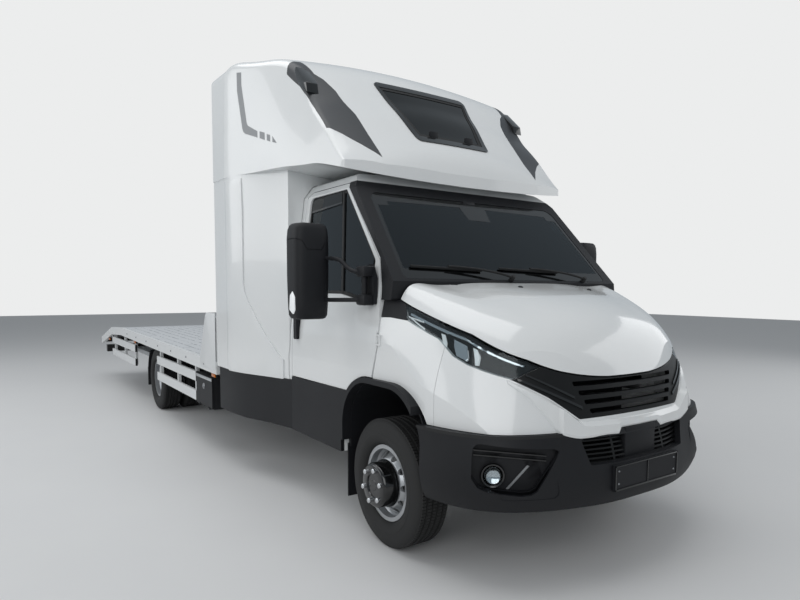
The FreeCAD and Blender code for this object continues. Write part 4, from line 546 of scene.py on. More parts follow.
class Bench:
    """The maker's tools: primitives, work in edit mode, and the finishing of one mesh at a time."""

    @staticmethod
    def hold(*pieces: Piece) -> None:
        """Leave edit mode and select only these objects, the first one active.

        Args:
            *pieces: The objects, or none.
        """
        if bpy.context.object and bpy.context.object.mode != "OBJECT":
            bpy.ops.object.mode_set(mode="OBJECT")
        bpy.ops.object.select_all(action="DESELECT")
        for piece in pieces:
            piece.select_set(True)
        if pieces:
            bpy.context.view_layer.objects.active = pieces[0]

    @staticmethod
    def open_all() -> None:
        """Go into edit mode with the whole active mesh selected."""
        bpy.ops.object.mode_set(mode="EDIT")
        bpy.ops.mesh.select_all(action="SELECT")

    @staticmethod
    def close_outwards() -> None:
        """Turn every face outwards and leave edit mode."""
        bpy.ops.mesh.select_all(action="SELECT")
        bpy.ops.mesh.normals_make_consistent(inside=False)
        bpy.ops.object.mode_set(mode="OBJECT")

    @staticmethod
    def named(name: str) -> Piece:
        """Name the object just made and fix its place in its mesh.

        Args:
            name: Name of the active object.

        Returns:
            The active object.
        """
        piece = bpy.context.object
        piece.name = name
        bpy.ops.object.transform_apply(location=True, rotation=True, scale=True)
        return piece

    @staticmethod
    def block(name: str, low: Point, high: Point, round_by: float = 0.0) -> Piece:
        """Make a block between two corners.

        Args:
            name: Name of the new object.
            low: Its lowest corner.
            high: Its highest corner.
            round_by: Width of the bevel on its edges.

        Returns:
            The new object.
        """
        Bench.hold()
        middle = (Vector(low) + Vector(high)) / 2
        bpy.ops.mesh.primitive_cube_add(size=1, location=middle, scale=Vector(high) - Vector(low))
        piece = Bench.named(name)
        if round_by:
            Bench.bevel(piece, round_by)
        return piece

    @staticmethod
    def rod(name: str, start: Point, end: Point, radius: float, sides: int = 24,
            tip_radius: float | None = None) -> Piece:
        """Make a round or tapered bar between two points.

        Args:
            name: Name of the new object.
            start: Middle of the first end.
            end: Middle of the second end.
            radius: Radius at the start.
            sides: How many flats go round it.
            tip_radius: Radius at the end, where it differs.

        Returns:
            The new object.
        """
        Bench.hold()
        line = Vector(end) - Vector(start)
        bpy.ops.mesh.primitive_cone_add(
            vertices=sides, radius1=radius, radius2=radius if tip_radius is None else tip_radius,
            depth=line.length, location=Vector(start) + line / 2,
            rotation=line.to_track_quat("Z", "Y").to_euler())
        return Bench.named(name)

    @staticmethod
    def plate(name: str, outline: Sequence[Point], sweep: Point) -> Piece:
        """Draw a flat outline out into a solid.

        Args:
            name: Name of the new object.
            outline: Its corners in order.
            sweep: How far and which way it is drawn out.

        Returns:
            The new object, closed and facing outwards.
        """
        Bench.hold()
        bpy.ops.mesh.primitive_circle_add(vertices=len(outline), fill_type="NGON")
        piece = Bench.named(name)
        for vertex, place in zip(piece.data.vertices, outline):
            vertex.co = place
        Bench.open_all()
        bpy.ops.mesh.extrude_region_move(TRANSFORM_OT_translate={"value": sweep})
        Bench.close_outwards()
        return piece

    @staticmethod
    def turned(name: str, profile: Sequence[Flat], centre: Point, steps: int = 64,
               axis: Point = (0, 1, 0)) -> Piece:
        """Spin a profile about an axis.

        Args:
            name: Name of the new object.
            profile: Points as (along the axis, radius), closed where both ends have no radius.
            centre: A point on the axis.
            steps: How many steps the spin takes.
            axis: Direction of the axis.

        Returns:
            The new object, with its seam and poles merged.
        """
        Bench.hold()
        way = Vector(axis).normalized()
        out = way.orthogonal().normalized()
        bpy.ops.mesh.primitive_circle_add(vertices=len(profile), fill_type="NOTHING")
        piece = Bench.named(name)
        for vertex, (along, radius) in zip(piece.data.vertices, profile):
            vertex.co = Vector(centre) + way * along + out * radius
        bpy.ops.object.mode_set(mode="EDIT")
        if profile[0][1] < TINY and profile[-1][1] < TINY:
            bpy.ops.mesh.select_all(action="DESELECT")
            bpy.ops.object.mode_set(mode="OBJECT")
            last = len(profile) - 1
            for edge in piece.data.edges:
                edge.select = set(edge.vertices) == {0, last}
            bpy.ops.object.mode_set(mode="EDIT")
            bpy.ops.mesh.select_mode(type="EDGE")
            bpy.ops.mesh.delete(type="EDGE")
        bpy.ops.mesh.select_mode(type="FACE")
        bpy.ops.mesh.select_all(action="SELECT")
        bpy.ops.mesh.spin(steps=steps, angle=FULL_TURN, center=centre, axis=way)
        bpy.ops.mesh.select_all(action="SELECT")
        bpy.ops.mesh.remove_doubles(threshold=MERGE)
        bpy.ops.mesh.dissolve_degenerate(threshold=TINY)
        Bench.close_outwards()
        return piece

    @staticmethod
    def sweep(name: str, points: Sequence[Point], radius: float, sides: int = 3) -> Piece:
        """Draw a round bar along a smooth line that the points guide.

        Args:
            name: Name of the new object.
            points: Control points of the line, five or more.
            radius: Radius of the bar.
            sides: Resolution of the round.

        Returns:
            The new mesh object.
        """
        Bench.hold()
        bpy.ops.curve.primitive_nurbs_path_add()
        line = bpy.context.object
        line.name = name
        spline = line.data.splines[0]
        spline.points.add(len(points) - len(spline.points))
        for point, place in zip(spline.points, points):
            point.co = (*place, 1.0)
        spline.order_u = 3
        spline.use_endpoint_u = True
        spline.resolution_u = 8
        line.location = (0, 0, 0)
        line.data.bevel_depth = radius
        line.data.bevel_resolution = sides
        line.data.use_fill_caps = True
        Bench.hold(line)
        bpy.ops.object.convert(target="MESH")
        piece = Bench.named(name)
        Bench.open_all()
        bpy.ops.mesh.remove_doubles(threshold=MERGE)
        Bench.close_outwards()
        return piece

    @staticmethod
    def rings(name: str, rings: Sequence[Sequence[Point]]) -> Piece:
        """Skin a row of closed sections into one solid with flat ends.

        Args:
            name: Name of the new object.
            rings: The sections in order, all with the same number of points.

        Returns:
            The new object, closed and facing outwards.
        """
        Bench.hold()
        across = len(rings[0])
        bpy.ops.mesh.primitive_grid_add(x_subdivisions=across, y_subdivisions=len(rings) - 1)
        piece = Bench.named(name)
        for row, ring in enumerate(rings):
            for column in range(across + 1):
                piece.data.vertices[row * (across + 1) + column].co = ring[column % across]
        Bench.open_all()
        bpy.ops.mesh.remove_doubles(threshold=TINY)
        bpy.ops.mesh.fill_holes(sides=0)
        Bench.close_outwards()
        return piece

    @staticmethod
    def pick(piece: Piece, test: Callable[[Vector, Vector], bool]) -> None:
        """Select the faces whose middle and normal pass a test, and stay in edit mode.

        Args:
            piece: The object.
            test: Says of a middle and a normal if the face is meant.
        """
        Bench.hold(piece)
        bpy.ops.object.mode_set(mode="EDIT")
        bpy.ops.mesh.select_mode(type="FACE")
        bpy.ops.mesh.select_all(action="DESELECT")
        bpy.ops.object.mode_set(mode="OBJECT")
        for face in piece.data.polygons:
            face.select = bool(test(face.center, face.normal))
        bpy.ops.object.mode_set(mode="EDIT")

    @staticmethod
    def trim(piece: Piece, test: Callable[[Vector, Vector], bool]) -> None:
        """Take away the faces whose middle and normal pass a test.

        Args:
            piece: The object.
            test: Says of a middle and a normal if the face goes.
        """
        Bench.pick(piece, test)
        bpy.ops.mesh.delete(type="FACE")
        bpy.ops.object.mode_set(mode="OBJECT")

    @staticmethod
    def modify(piece: Piece, kind: str, **settings: object) -> Piece:
        """Add one modifier with its settings and apply it.

        Args:
            piece: The object.
            kind: Blender's name of the modifier type.
            **settings: Properties of the modifier.

        Returns:
            The same object.
        """
        Bench.hold(piece)
        modifier = piece.modifiers.new(kind.lower(), kind)
        for key, value in settings.items():
            setattr(modifier, key, value)
        bpy.ops.object.modifier_apply(modifier=modifier.name)
        return piece

    @staticmethod
    def bevel(piece: Piece, width: float, segments: int = 2, angle: float = 35.0) -> Piece:
        """Round the sharp edges."""
        return Bench.modify(piece, "BEVEL", width=width, segments=segments, limit_method="ANGLE",
                            angle_limit=math.radians(angle), harden_normals=False)

    @staticmethod
    def smooth(piece: Piece, angle: float) -> None:
        """Shade the faces smoothly across all edges flatter than an angle in degrees."""
        Bench.hold(piece)
        bpy.ops.object.shade_smooth_by_angle(angle=math.radians(angle))

    @staticmethod
    def cut(piece: Piece, tool: Piece, how: str = "DIFFERENCE") -> Piece:
        """Cut a piece with a tool, or keep what both share, and take the tool away.

        Args:
            piece: The object to cut.
            tool: The solid that cuts it, which is used up.
            how: Blender's name of the operation.

        Returns:
            The same object.
        """
        Bench.modify(piece, "BOOLEAN", object=tool, operation=how, solver="EXACT")
        bpy.data.objects.remove(tool)
        return piece

    @staticmethod
    def join(name: str, pieces: Sequence[Piece]) -> Piece:
        """Make one object of several.

        Args:
            name: Name of the joined object.
            pieces: The objects, used up.

        Returns:
            The joined object.
        """
        Bench.hold(*pieces)
        if len(pieces) > 1:
            bpy.ops.object.join()
        piece = bpy.context.object
        piece.name = name
        return piece

    @staticmethod
    def copy(piece: Piece, name: str) -> Piece:
        """Copy an object with its own mesh.

        Args:
            piece: The object.
            name: Name of its copy.

        Returns:
            The copy.
        """
        double = piece.copy()
        double.data = piece.data.copy()
        double.name = name
        bpy.context.scene.collection.objects.link(double)
        double.parent = None
        return double

    @staticmethod
    def flipped(piece: Piece) -> Piece:
        """Mirror a piece's mesh across the truck's middle, facing outwards again.

        Args:
            piece: The object.

        Returns:
            The same object.
        """
        piece.data.transform(Matrix.Scale(-1, 4, (0, 1, 0)))
        Bench.hold(piece)
        Bench.open_all()
        bpy.ops.mesh.flip_normals()
        bpy.ops.object.mode_set(mode="OBJECT")
        return piece

    @staticmethod
    def other_side(piece: Piece, name: str) -> Piece:
        """Copy a piece to the other side of the truck."""
        return Bench.flipped(Bench.copy(piece, name))

    @staticmethod
    def shell(name: str, node: str) -> Piece:
        """Copy a CAD node's mesh as a new piece, with its loose triangles merged.

        Args:
            name: Name of the new piece.
            node: The CAD node that it copies.

        Returns:
            The new piece, without finish, body or node.
        """
        piece = Bench.copy(bpy.data.objects[node], name)
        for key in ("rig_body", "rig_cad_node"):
            if key in piece:
                del piece[key]
        piece.hide_viewport = piece.hide_render = False
        piece.hide_set(False)
        Bench.hold(piece)
        Bench.open_all()
        bpy.ops.mesh.remove_doubles(threshold=MERGE)
        bpy.ops.object.mode_set(mode="OBJECT")
        bpy.ops.mesh.customdata_custom_splitnormals_clear()
        piece.data.materials.clear()
        return piece

    @staticmethod
    def patch(name: str, node: str, tool: Piece, inside: Point, lift: float,
              thickness: float, cosine: float = 0.5) -> Piece:
        """Cut a thin patch that follows the outer skin of a CAD node.

        Args:
            name: Name of the new piece.
            node: The CAD node whose skin it follows.
            tool: A solid that marks the patch's outline through the skin, and is used up.
            inside: A point behind the skin, which the patch faces away from.
            lift: How far its underside stands off the skin.
            thickness: How thick it is.
            cosine: Least share of facing away from the inner point that a face has.

        Returns:
            The new piece.
        """
        piece = Bench.cut(Bench.shell(name, node), tool, "INTERSECT")
        core = Vector(inside)
        Bench.pick(piece, lambda middle, normal: normal.dot((middle - core).normalized()) < cosine)
        bpy.ops.mesh.delete(type="FACE")
        bpy.ops.mesh.select_all(action="SELECT")
        bpy.ops.transform.shrink_fatten(value=lift)
        bpy.ops.object.mode_set(mode="OBJECT")
        return Bench.modify(piece, "SOLIDIFY", thickness=thickness, offset=1.0)


def fit(piece: Piece, look: Look, slot: str = "black_plastic", body: str = "chassis",
        replaces: Sequence[str] = (), angle: float = 32.0) -> None:
    """Finish a new piece: smooth it, dress it and let it ride on a body.

    Args:
        piece: The new object.
        look: Its finish.
        slot: Material slot of the record that it belongs to; not used.
        body: The CAD body that it moves with.
        replaces: CAD nodes that it stands for.
        angle: Largest angle in degrees that is shaded smoothly.
    """
    Bench.smooth(piece, angle)
    piece.data.materials.clear()
    piece.data.materials.append(look.make())
    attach(piece, body)
    if replaces:
        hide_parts(*replaces)
    LOG.info("made %s: %d faces", piece.name, len(piece.data.polygons))


def front_x(piece: Piece, y: float, z: float) -> float:
    """Find how far forward a piece reaches at a place, or 0 where it has no face there."""
    hit, place, _, _ = piece.ray_cast(Vector(at(AHEAD, y, z)), Vector((-1, 0, 0)))
    return place.x if hit else 0.0


def side_zone(outline: Sequence[Flat], sign: int, near: float, depth: float) -> Piece:
    """Make a solid through one side of the truck, which marks a side outline (x, z).

    Args:
        outline: Corners in order, x from the front axle.
        sign: 1 on the left side and -1 on the right.
        near: Where it starts, across from the truck's middle.
        depth: How far out it goes.

    Returns:
        The solid.
    """
    return Bench.plate("zone", [at(x, sign * near, z) for x, z in outline], (0, sign * depth, 0))


def rounded(middle: Flat, half: Flat, square: float = 0.45, steps: int = 40) -> list[Flat]:
    """Give a rectangle with generous round corners as points about its middle.

    Args:
        middle: The centre.
        half: Half of its two sizes.
        square: From 1, an ellipse, down to 0, sharp corners.
        steps: How many points.

    Returns:
        The points in order.
    """
    points = []
    for index in range(steps):
        angle = FULL_TURN * index / steps
        across, along = math.cos(angle), math.sin(angle)
        points.append((middle[0] + half[0] * math.copysign(abs(across) ** square, across),
                       middle[1] + half[1] * math.copysign(abs(along) ** square, along)))
    return points


@dataclass
class Tyre:
    """A commercial road tyre: moulded side walls, three grooves and siped ribs."""

    radius: float = 0.372
    steps: int = 120
    rib_edges: tuple[Flat, ...] = ((0.060, 0.086), (0.022, 0.050))
    middle_rib: float = 0.0115
    block_height: float = 0.007
    groove_depth: float = 0.011
    sipe: float = 0.0022
    slack: float = 0.001

    def half_profile(self) -> list[Flat]:
        """Give half the section as (across, radius), from the bead out to the middle rib.

        Returns:
            The points of one half.
        """
        wall = [(0.0763, 0.2035), (0.0763, 0.2235), (0.085, 0.2245), (0.100, 0.236), (0.108, 0.250),
                (0.1115, 0.262), (0.113, 0.267), (0.113, 0.285), (0.1115, 0.287), (0.110, 0.305),
                (0.1075, 0.325), (0.104, 0.340), (0.098, 0.354), (0.092, 0.3615)]
        base = self.radius - self.block_height
        low = self.radius - self.groove_depth
        tread: list[Flat] = []
        for inner, outer in self.rib_edges:
            tread += [(outer, base), (inner, base), (inner - 0.002, low), (inner - 0.0085, low)]
        return wall + tread + [(self.middle_rib, base)]

    def build(self, name: str) -> Piece:
        """Make one tyre about the cross axis through the frame's origin.

        Args:
            name: Name of the new piece.

        Returns:
            The tyre.
        """
        half = self.half_profile()
        outline = half + [(-across, radius) for across, radius in reversed(half)]
        tyre = Bench.turned(name, outline, (0, 0, 0), self.steps)
        floor = self.radius - self.block_height - self.slack
        Bench.pick(tyre, lambda middle, normal: math.hypot(middle.x, middle.z) > floor
                   and abs(normal.y) < 0.2)
        bpy.ops.mesh.inset(thickness=self.sipe, depth=self.block_height, use_individual=True)
        bpy.ops.object.mode_set(mode="OBJECT")
        return tyre


@dataclass
class Wheels:
    """The six tyres, the front hub covers and all the wheel nuts."""

    tyre: Tyre
    front_y: float = 0.862
    rear_y: tuple[float, float] = (0.985, 0.723)
    nut_circle: float = 0.094
    rear_nut_circle: float = 0.115
    nut_count: int = 6
    nut_size: float = 0.0165
    nut_length: float = 0.030
    nut_seat: float = 0.012
    cover_face: float = 0.1742
    rear_nut_y: float = 0.855

    @staticmethod
    def placed(piece: Piece, name: str, place: Point) -> Piece:
        """Copy a piece made about the origin to its own wheel.

        Args:
            piece: The pattern.
            name: Name of its copy.
            place: The wheel's middle.

        Returns:
            The copy.
        """
        double = Bench.copy(piece, name)
        double.data.transform(Matrix.Translation(place))
        return double

    def tyres(self) -> None:
        """Replace the plain tyres of the solids by moulded ones."""
        first = self.tyre.build("tyre_pattern")
        height = self.tyre.radius
        for side, sign in SIDES.items():
            single = self.placed(first, f"tyre_tread_front_{side}",
                                 (FRONT_AXLE_X, sign * self.front_y, height))
            fit(single, Look.RUBBER, "tyre", f"wheel_front_{side}", replaces=[f"tyre_front_{side}"])
            twins = [self.placed(first, f"twin_{side}", (REAR_AXLE_X, sign * y, height))
                     for y in self.rear_y]
            pair = Bench.join(f"tyre_tread_rear_{side}", twins)
            fit(pair, Look.RUBBER, "tyre", f"wheels_rear_{side}", replaces=[f"tyres_rear_{side}"])
        bpy.data.objects.remove(first)

    def nuts(self, name: str, circle: float, start: float) -> Piece:
        """Make a ring of domed hexagon nuts about the cross axis.

        Args:
            name: Name of the new piece.
            circle: Radius of the ring.
            start: Where the nuts stand, across the axle.

        Returns:
            All nuts as one object.
        """
        ring = []
        for index in range(self.nut_count):
            angle = FULL_TURN * (index + 0.25) / self.nut_count
            x, z = circle * math.cos(angle), circle * math.sin(angle)
            nut = Bench.rod(f"{name}_{index}", (x, start, z), (x, start + self.nut_length, z),
                            self.nut_size, 6)
            ring.append(Bench.bevel(nut, self.nut_size * 0.28, 3))
        return Bench.join(name, ring)

    def front(self) -> None:
        """Make black hub covers with a sunk middle and six bright nuts."""
        outline = [(0.0845, 0.0), (0.0845, 0.1375), (0.096, 0.1352), (0.1065, 0.1295), (0.158, 0.1275),
                   (0.1665, 0.1235), (0.171, 0.118), (self.cover_face, 0.112), (self.cover_face, 0.0705),
                   (0.172, 0.0675), (0.1665, 0.0655), (0.1665, 0.03), (0.1685, 0.027), (0.1685, 0.0)]
        cover = Bench.turned("cover_pattern", outline, (0, 0, 0), 72)
        nuts = self.nuts("nut_pattern", self.nut_circle, self.cover_face - self.nut_seat)
        for side, sign in SIDES.items():
            for pattern, kind, slot, look in ((cover, "hub_cover", "black_plastic", Look.PIANO),
                                              (nuts, "wheel_nuts", "silver_steel", Look.CHROME)):
                piece = Bench.copy(pattern, f"{kind}_front_{side}")
                if sign < 0:
                    piece = Bench.flipped(piece)
                piece.data.transform(Matrix.Translation((FRONT_AXLE_X, sign * self.front_y,
                                                         self.tyre.radius)))
                fit(piece, look, slot, f"wheel_front_{side}")
        for pattern in (cover, nuts):
            bpy.data.objects.remove(pattern)

    def rear(self) -> None:
        """Make the nuts round the rear hubs, which stand deep in the outer wheels."""
        nuts = self.nuts("rear_nut_pattern", self.rear_nut_circle, self.rear_nut_y)
        for side, sign in SIDES.items():
            piece = Bench.copy(nuts, f"wheel_nuts_rear_{side}")
            if sign < 0:
                piece = Bench.flipped(piece)
            piece.data.transform(Matrix.Translation((REAR_AXLE_X, 0, self.tyre.radius)))
            fit(piece, Look.NUTS, "silver_steel", f"wheels_rear_{side}")
        bpy.data.objects.remove(nuts)

    def build(self) -> None:
        """Make everything that turns with the wheels."""
        self.tyres()
        self.front()
        self.rear()


@dataclass
class Headlamps:
    """Lamps with a dark housing under a clear cover, and their bright parts."""

    recess: float = 0.016
    wall: float = 0.002
    insert: float = 0.006
    cover: float = 0.003
    core: Point = at(0.15, 0.0, 0.95)

    def film(self, name: str, outline: Sequence[Flat], sign: int, lift: float, thickness: float) -> Piece:
        """Make a thin form that follows the lamp's face within a side outline (x, z)."""
        zone = side_zone(outline, sign, 0.3, 0.9)
        return Bench.patch(name, "headlamps", zone, self.core, lift, thickness, 0.45)

    def whole(self, side: str, sign: int) -> None:
        """Build the housing and its clear cover.

        Args:
            side: The side's name, which ends the pieces' names.
            sign: 1 on the left side and -1 on the right.
        """
        box = [(0.10, 1.0), (0.95, 1.0), (0.95, 1.5), (0.10, 1.5)]
        housing = self.film(f"lamp_housing_{side}", box, sign, -self.recess, self.wall)
        fit(housing, Look.SATIN, "lamp_lens", replaces=["headlamps"])
        cover = self.film(f"lamp_cover_{side}", box, sign, -self.cover, self.cover)
        fit(cover, Look.LENS, "lamp_lens")

    def bright(self, side: str, sign: int) -> None:
        """Build the chrome strip and cell, the chevron and the two curved light bars.

        Args:
            side: The side's name, which ends the pieces' names.
            sign: 1 on the left side and -1 on the right.
        """
        parts = {
            "lamp_strip": (Look.CHROME, [(0.20, 1.362), (0.56, 1.243), (0.80, 1.118), (0.80, 1.108),
                                         (0.56, 1.230), (0.20, 1.350)]),
            "lamp_chevron": (Look.LIGHT_GUIDE, [(0.185, 1.345), (0.30, 1.322), (0.30, 1.314),
                                                (0.225, 1.331), (0.32, 1.285), (0.32, 1.277)]),
            "lamp_bar_rear": (Look.LIGHT_GUIDE, [(0.425, 1.262), (0.447, 1.256), (0.470, 1.215),
                                                 (0.478, 1.175), (0.460, 1.178), (0.448, 1.215)]),
            "lamp_bar_front": (Look.LIGHT_GUIDE, [(0.600, 1.198), (0.624, 1.188), (0.646, 1.150),
                                                  (0.652, 1.112), (0.634, 1.114), (0.622, 1.150)]),
            "lamp_cell": (Look.CHROME, [(0.50, 1.235), (0.575, 1.204), (0.60, 1.140), (0.60, 1.128),
                                        (0.535, 1.155), (0.51, 1.200)])}
        for name, (look, outline) in parts.items():
            piece = self.film(f"{name}_{side}", outline, sign, self.wall - self.recess, self.insert)
            fit(piece, look, "lamp_lens")

    def build(self) -> None:
        """Make both headlamps."""
        for side, sign in SIDES.items():
            self.whole(side, sign)
            self.bright(side, sign)


@dataclass
class Mirrors:
    """Door mirrors on two arms, with a rounded housing, two glasses and a flasher."""

    middle: Flat = (-0.455, 1.215)
    half: Flat = (0.095, 0.110)
    sections: tuple[Flat, ...] = ((1.306, 0.72), (1.312, 0.84), (1.330, 0.93), (1.40, 0.97), (1.56, 1.0),
                                  (1.78, 1.0), (1.832, 0.96), (1.856, 0.88), (1.868, 0.76), (1.871, 0.6))
    groove: float = 0.005
    rear_x: float = -0.542
    wall: float = 0.01
    arm: float = 0.0125
    plain_mirror: Flat = (-0.75, 1.29)

    def body(self, name: str, share: float) -> Piece:
        """Make the housing's form, shrunk to a share of its section.

        Args:
            name: Name of the new object.
            share: 1 for the outer form.

        Returns:
            The closed form.
        """
        rings = []
        for z, size in self.sections:
            ring = rounded(self.middle, (self.half[0] * size * share, self.half[1] * size * share), 0.5)
            rings.append([at(x, y, z) for x, y in ring])
        return Bench.rings(name, rings)

    @staticmethod
    def open_rear(form: Piece, x: float) -> Piece:
        """Cut the housing's form off flat at its rear."""
        return Bench.cut(form, Bench.block("rear", at(-0.7, 1.0, 1.2), at(x, 1.45, 1.95)))

    def housing(self) -> Piece:
        """Make the shell, with the bent groove between its cap and its body.

        Returns:
            The left housing.
        """
        shell = self.body("mirror_shell", 1.0)
        line = [(1.085, 1.782), (1.14, 1.762), (1.17, 1.712), (1.26, 1.712), (1.29, 1.762), (1.355, 1.782)]
        band = line + [(y, z + self.groove) for y, z in reversed(line)]
        tool = Bench.plate("groove", [at(-0.49, y, z) for y, z in band], (0.2, 0, 0))
        shell = self.open_rear(Bench.cut(shell, tool), self.rear_x)
        core = self.open_rear(self.body("mirror_core", 0.95), self.rear_x + self.wall)
        return Bench.join("mirror_housing_left", [shell, core])

    def glass(self, name: str, middle: Flat, half: Flat) -> Piece:
        """Make one mirror glass, a rounded plate on the housing's rear face."""
        ring = rounded(middle, half, 0.3)
        return Bench.plate(name, [at(self.rear_x, y, z) for y, z in ring], (-0.003, 0, 0))

    def arms(self) -> Piece:
        """Make the bracket on the door and the two arms.

        Returns:
            The left arms as one object.
        """
        bend = [at(-0.11, 1.035, 1.585), at(-0.16, 1.05, 1.583), at(-0.215, 1.07, 1.60),
                at(-0.265, 1.095, 1.655), at(-0.33, 1.12, 1.668), at(-0.41, 1.155, 1.668)]
        upper = Bench.sweep("arm_upper", bend, self.arm)
        lower = Bench.rod("arm_lower", at(-0.10, 1.03, 1.425), at(-0.41, 1.155, 1.42), self.arm)
        lobes = [Bench.block(f"lobe_{z}", at(-0.165, 0.975, z), at(-0.065, 1.055, z + 0.062), 0.014)
                 for z in (1.556, 1.394)]
        plate = Bench.plate("mirror_foot", [at(x, 0.965, z) for x, z in (
            (-0.062, 1.40), (-0.062, 1.55), (-0.10, 1.63), (-0.165, 1.61), (-0.165, 1.40))], (0, 0.03, 0))
        hinge = Bench.rod("mirror_pivot", at(-0.115, 1.022, 1.40), at(-0.115, 1.022, 1.61), 0.017)
        return Bench.join("mirror_arms_left", [upper, lower, plate, hinge] + lobes)

    def cladding(self, side: str) -> None:
        """Keep the door's cladding and handle as they are, without the plain mirror.

        Args:
            side: The side's name, which ends the pieces' names.
        """
        piece = Bench.shell(f"door_cladding_{side}", f"door_{side}_trim")
        rear, foot = FRONT_AXLE_X + self.plain_mirror[0], self.plain_mirror[1]
        Bench.trim(piece, lambda middle, normal: middle.x > rear and middle.z > foot)
        fit(piece, Look.GRAINED, body=f"door_{side}", replaces=[f"door_{side}_trim"])

    def build(self) -> None:
        """Make both mirrors."""
        flasher = Bench.plate("flasher_left", [at(x, 1.27, z) for x, z in (
            (-0.43, 1.335), (-0.405, 1.36), (-0.402, 1.44), (-0.43, 1.475), (-0.47, 1.45), (-0.48, 1.36))],
            (0, 0.056, 0))
        housing, arms = self.housing(), self.arms()
        y = self.middle[1]
        main = self.glass("mirror_glass_main_left", (y, 1.652), (0.090, 0.178))
        wide = self.glass("mirror_glass_wide_left", (y, 1.395), (0.088, 0.062))
        parts = [(housing, Look.GRAINED, "black_plastic"), (arms, Look.GRAINED, "black_plastic"),
                 (main, Look.MIRROR, "clear_glass"), (wide, Look.MIRROR, "clear_glass"),
                 (Bench.bevel(flasher, 0.008, 3), Look.LIGHT_GUIDE, "lamp_lens")]
        for piece, look, slot in parts:
            other = Bench.other_side(piece, piece.name.replace("left", "right"))
            fit(piece, look, slot, "door_left")
            fit(other, look, slot, "door_right")
        for side in SIDES:
            self.cladding(side)


@dataclass
class DoorWindows:
    """Division bar, seals and air deflector on the door glass."""

    core: Point = at(-0.7, 0.0, 1.6)

    def strip(self, side: str, name: str, outline: Sequence[Flat], lift: float, thickness: float,
              look: Look) -> None:
        """Lay one strip on the pane from its side outline (x, z).

        Args:
            side: The side's name, which ends the pieces' names.
            name: Name of the strip, less its side.
            outline: Its corners in order.
            lift: How far it stands off the pane.
            thickness: How thick it is.
            look: Its finish.
        """
        zone = side_zone(outline, SIDES[side], 0.6, 0.6)
        piece = Bench.patch(f"{name}_{side}", f"door_{side}_glass", zone, self.core, lift, thickness, 0.3)
        fit(piece, look, body=f"door_{side}")

    def seal(self, side: str) -> None:
        """Lay the rubber round the whole pane.

        Args:
            side: The side's name, which ends the pieces' names.
        """
        sign = SIDES[side]
        outer = [(-1.20, 1.36), (-1.20, 2.18), (-0.55, 2.18), (-0.05, 1.66), (-0.05, 1.36)]
        inner = [(-1.122, 1.474), (-1.100, 2.098), (-0.596, 2.100), (-0.152, 1.648), (-0.172, 1.425),
                 (-0.52, 1.474)]
        ring = Bench.cut(side_zone(outer, sign, 0.6, 0.6), side_zone(inner, sign, 0.5, 0.8))
        piece = Bench.patch(f"window_seal_{side}", f"door_{side}_glass", ring, self.core, 0.0003, 0.006, 0.3)
        fit(piece, Look.SEAL, body=f"door_{side}")

    def build(self) -> None:
        """Dress both panes."""
        for side in SIDES:
            self.seal(side)
            self.strip(side, "window_bar", [(-0.528, 1.44), (-0.505, 1.44), (-0.640, 2.14), (-0.664, 2.14)],
                       0.0003, 0.008, Look.SEAL)
            self.strip(side, "wind_deflector", [(-1.098, 2.02), (-1.085, 2.096), (-0.664, 2.104),
                                                (-0.648, 2.045)], 0.008, 0.003, Look.TINTED)
            self.strip(side, "deflector_edge", [(-1.099, 2.012), (-1.098, 2.022), (-0.648, 2.047),
                                                (-0.646, 2.037)], 0.0003, 0.012, Look.PIANO)


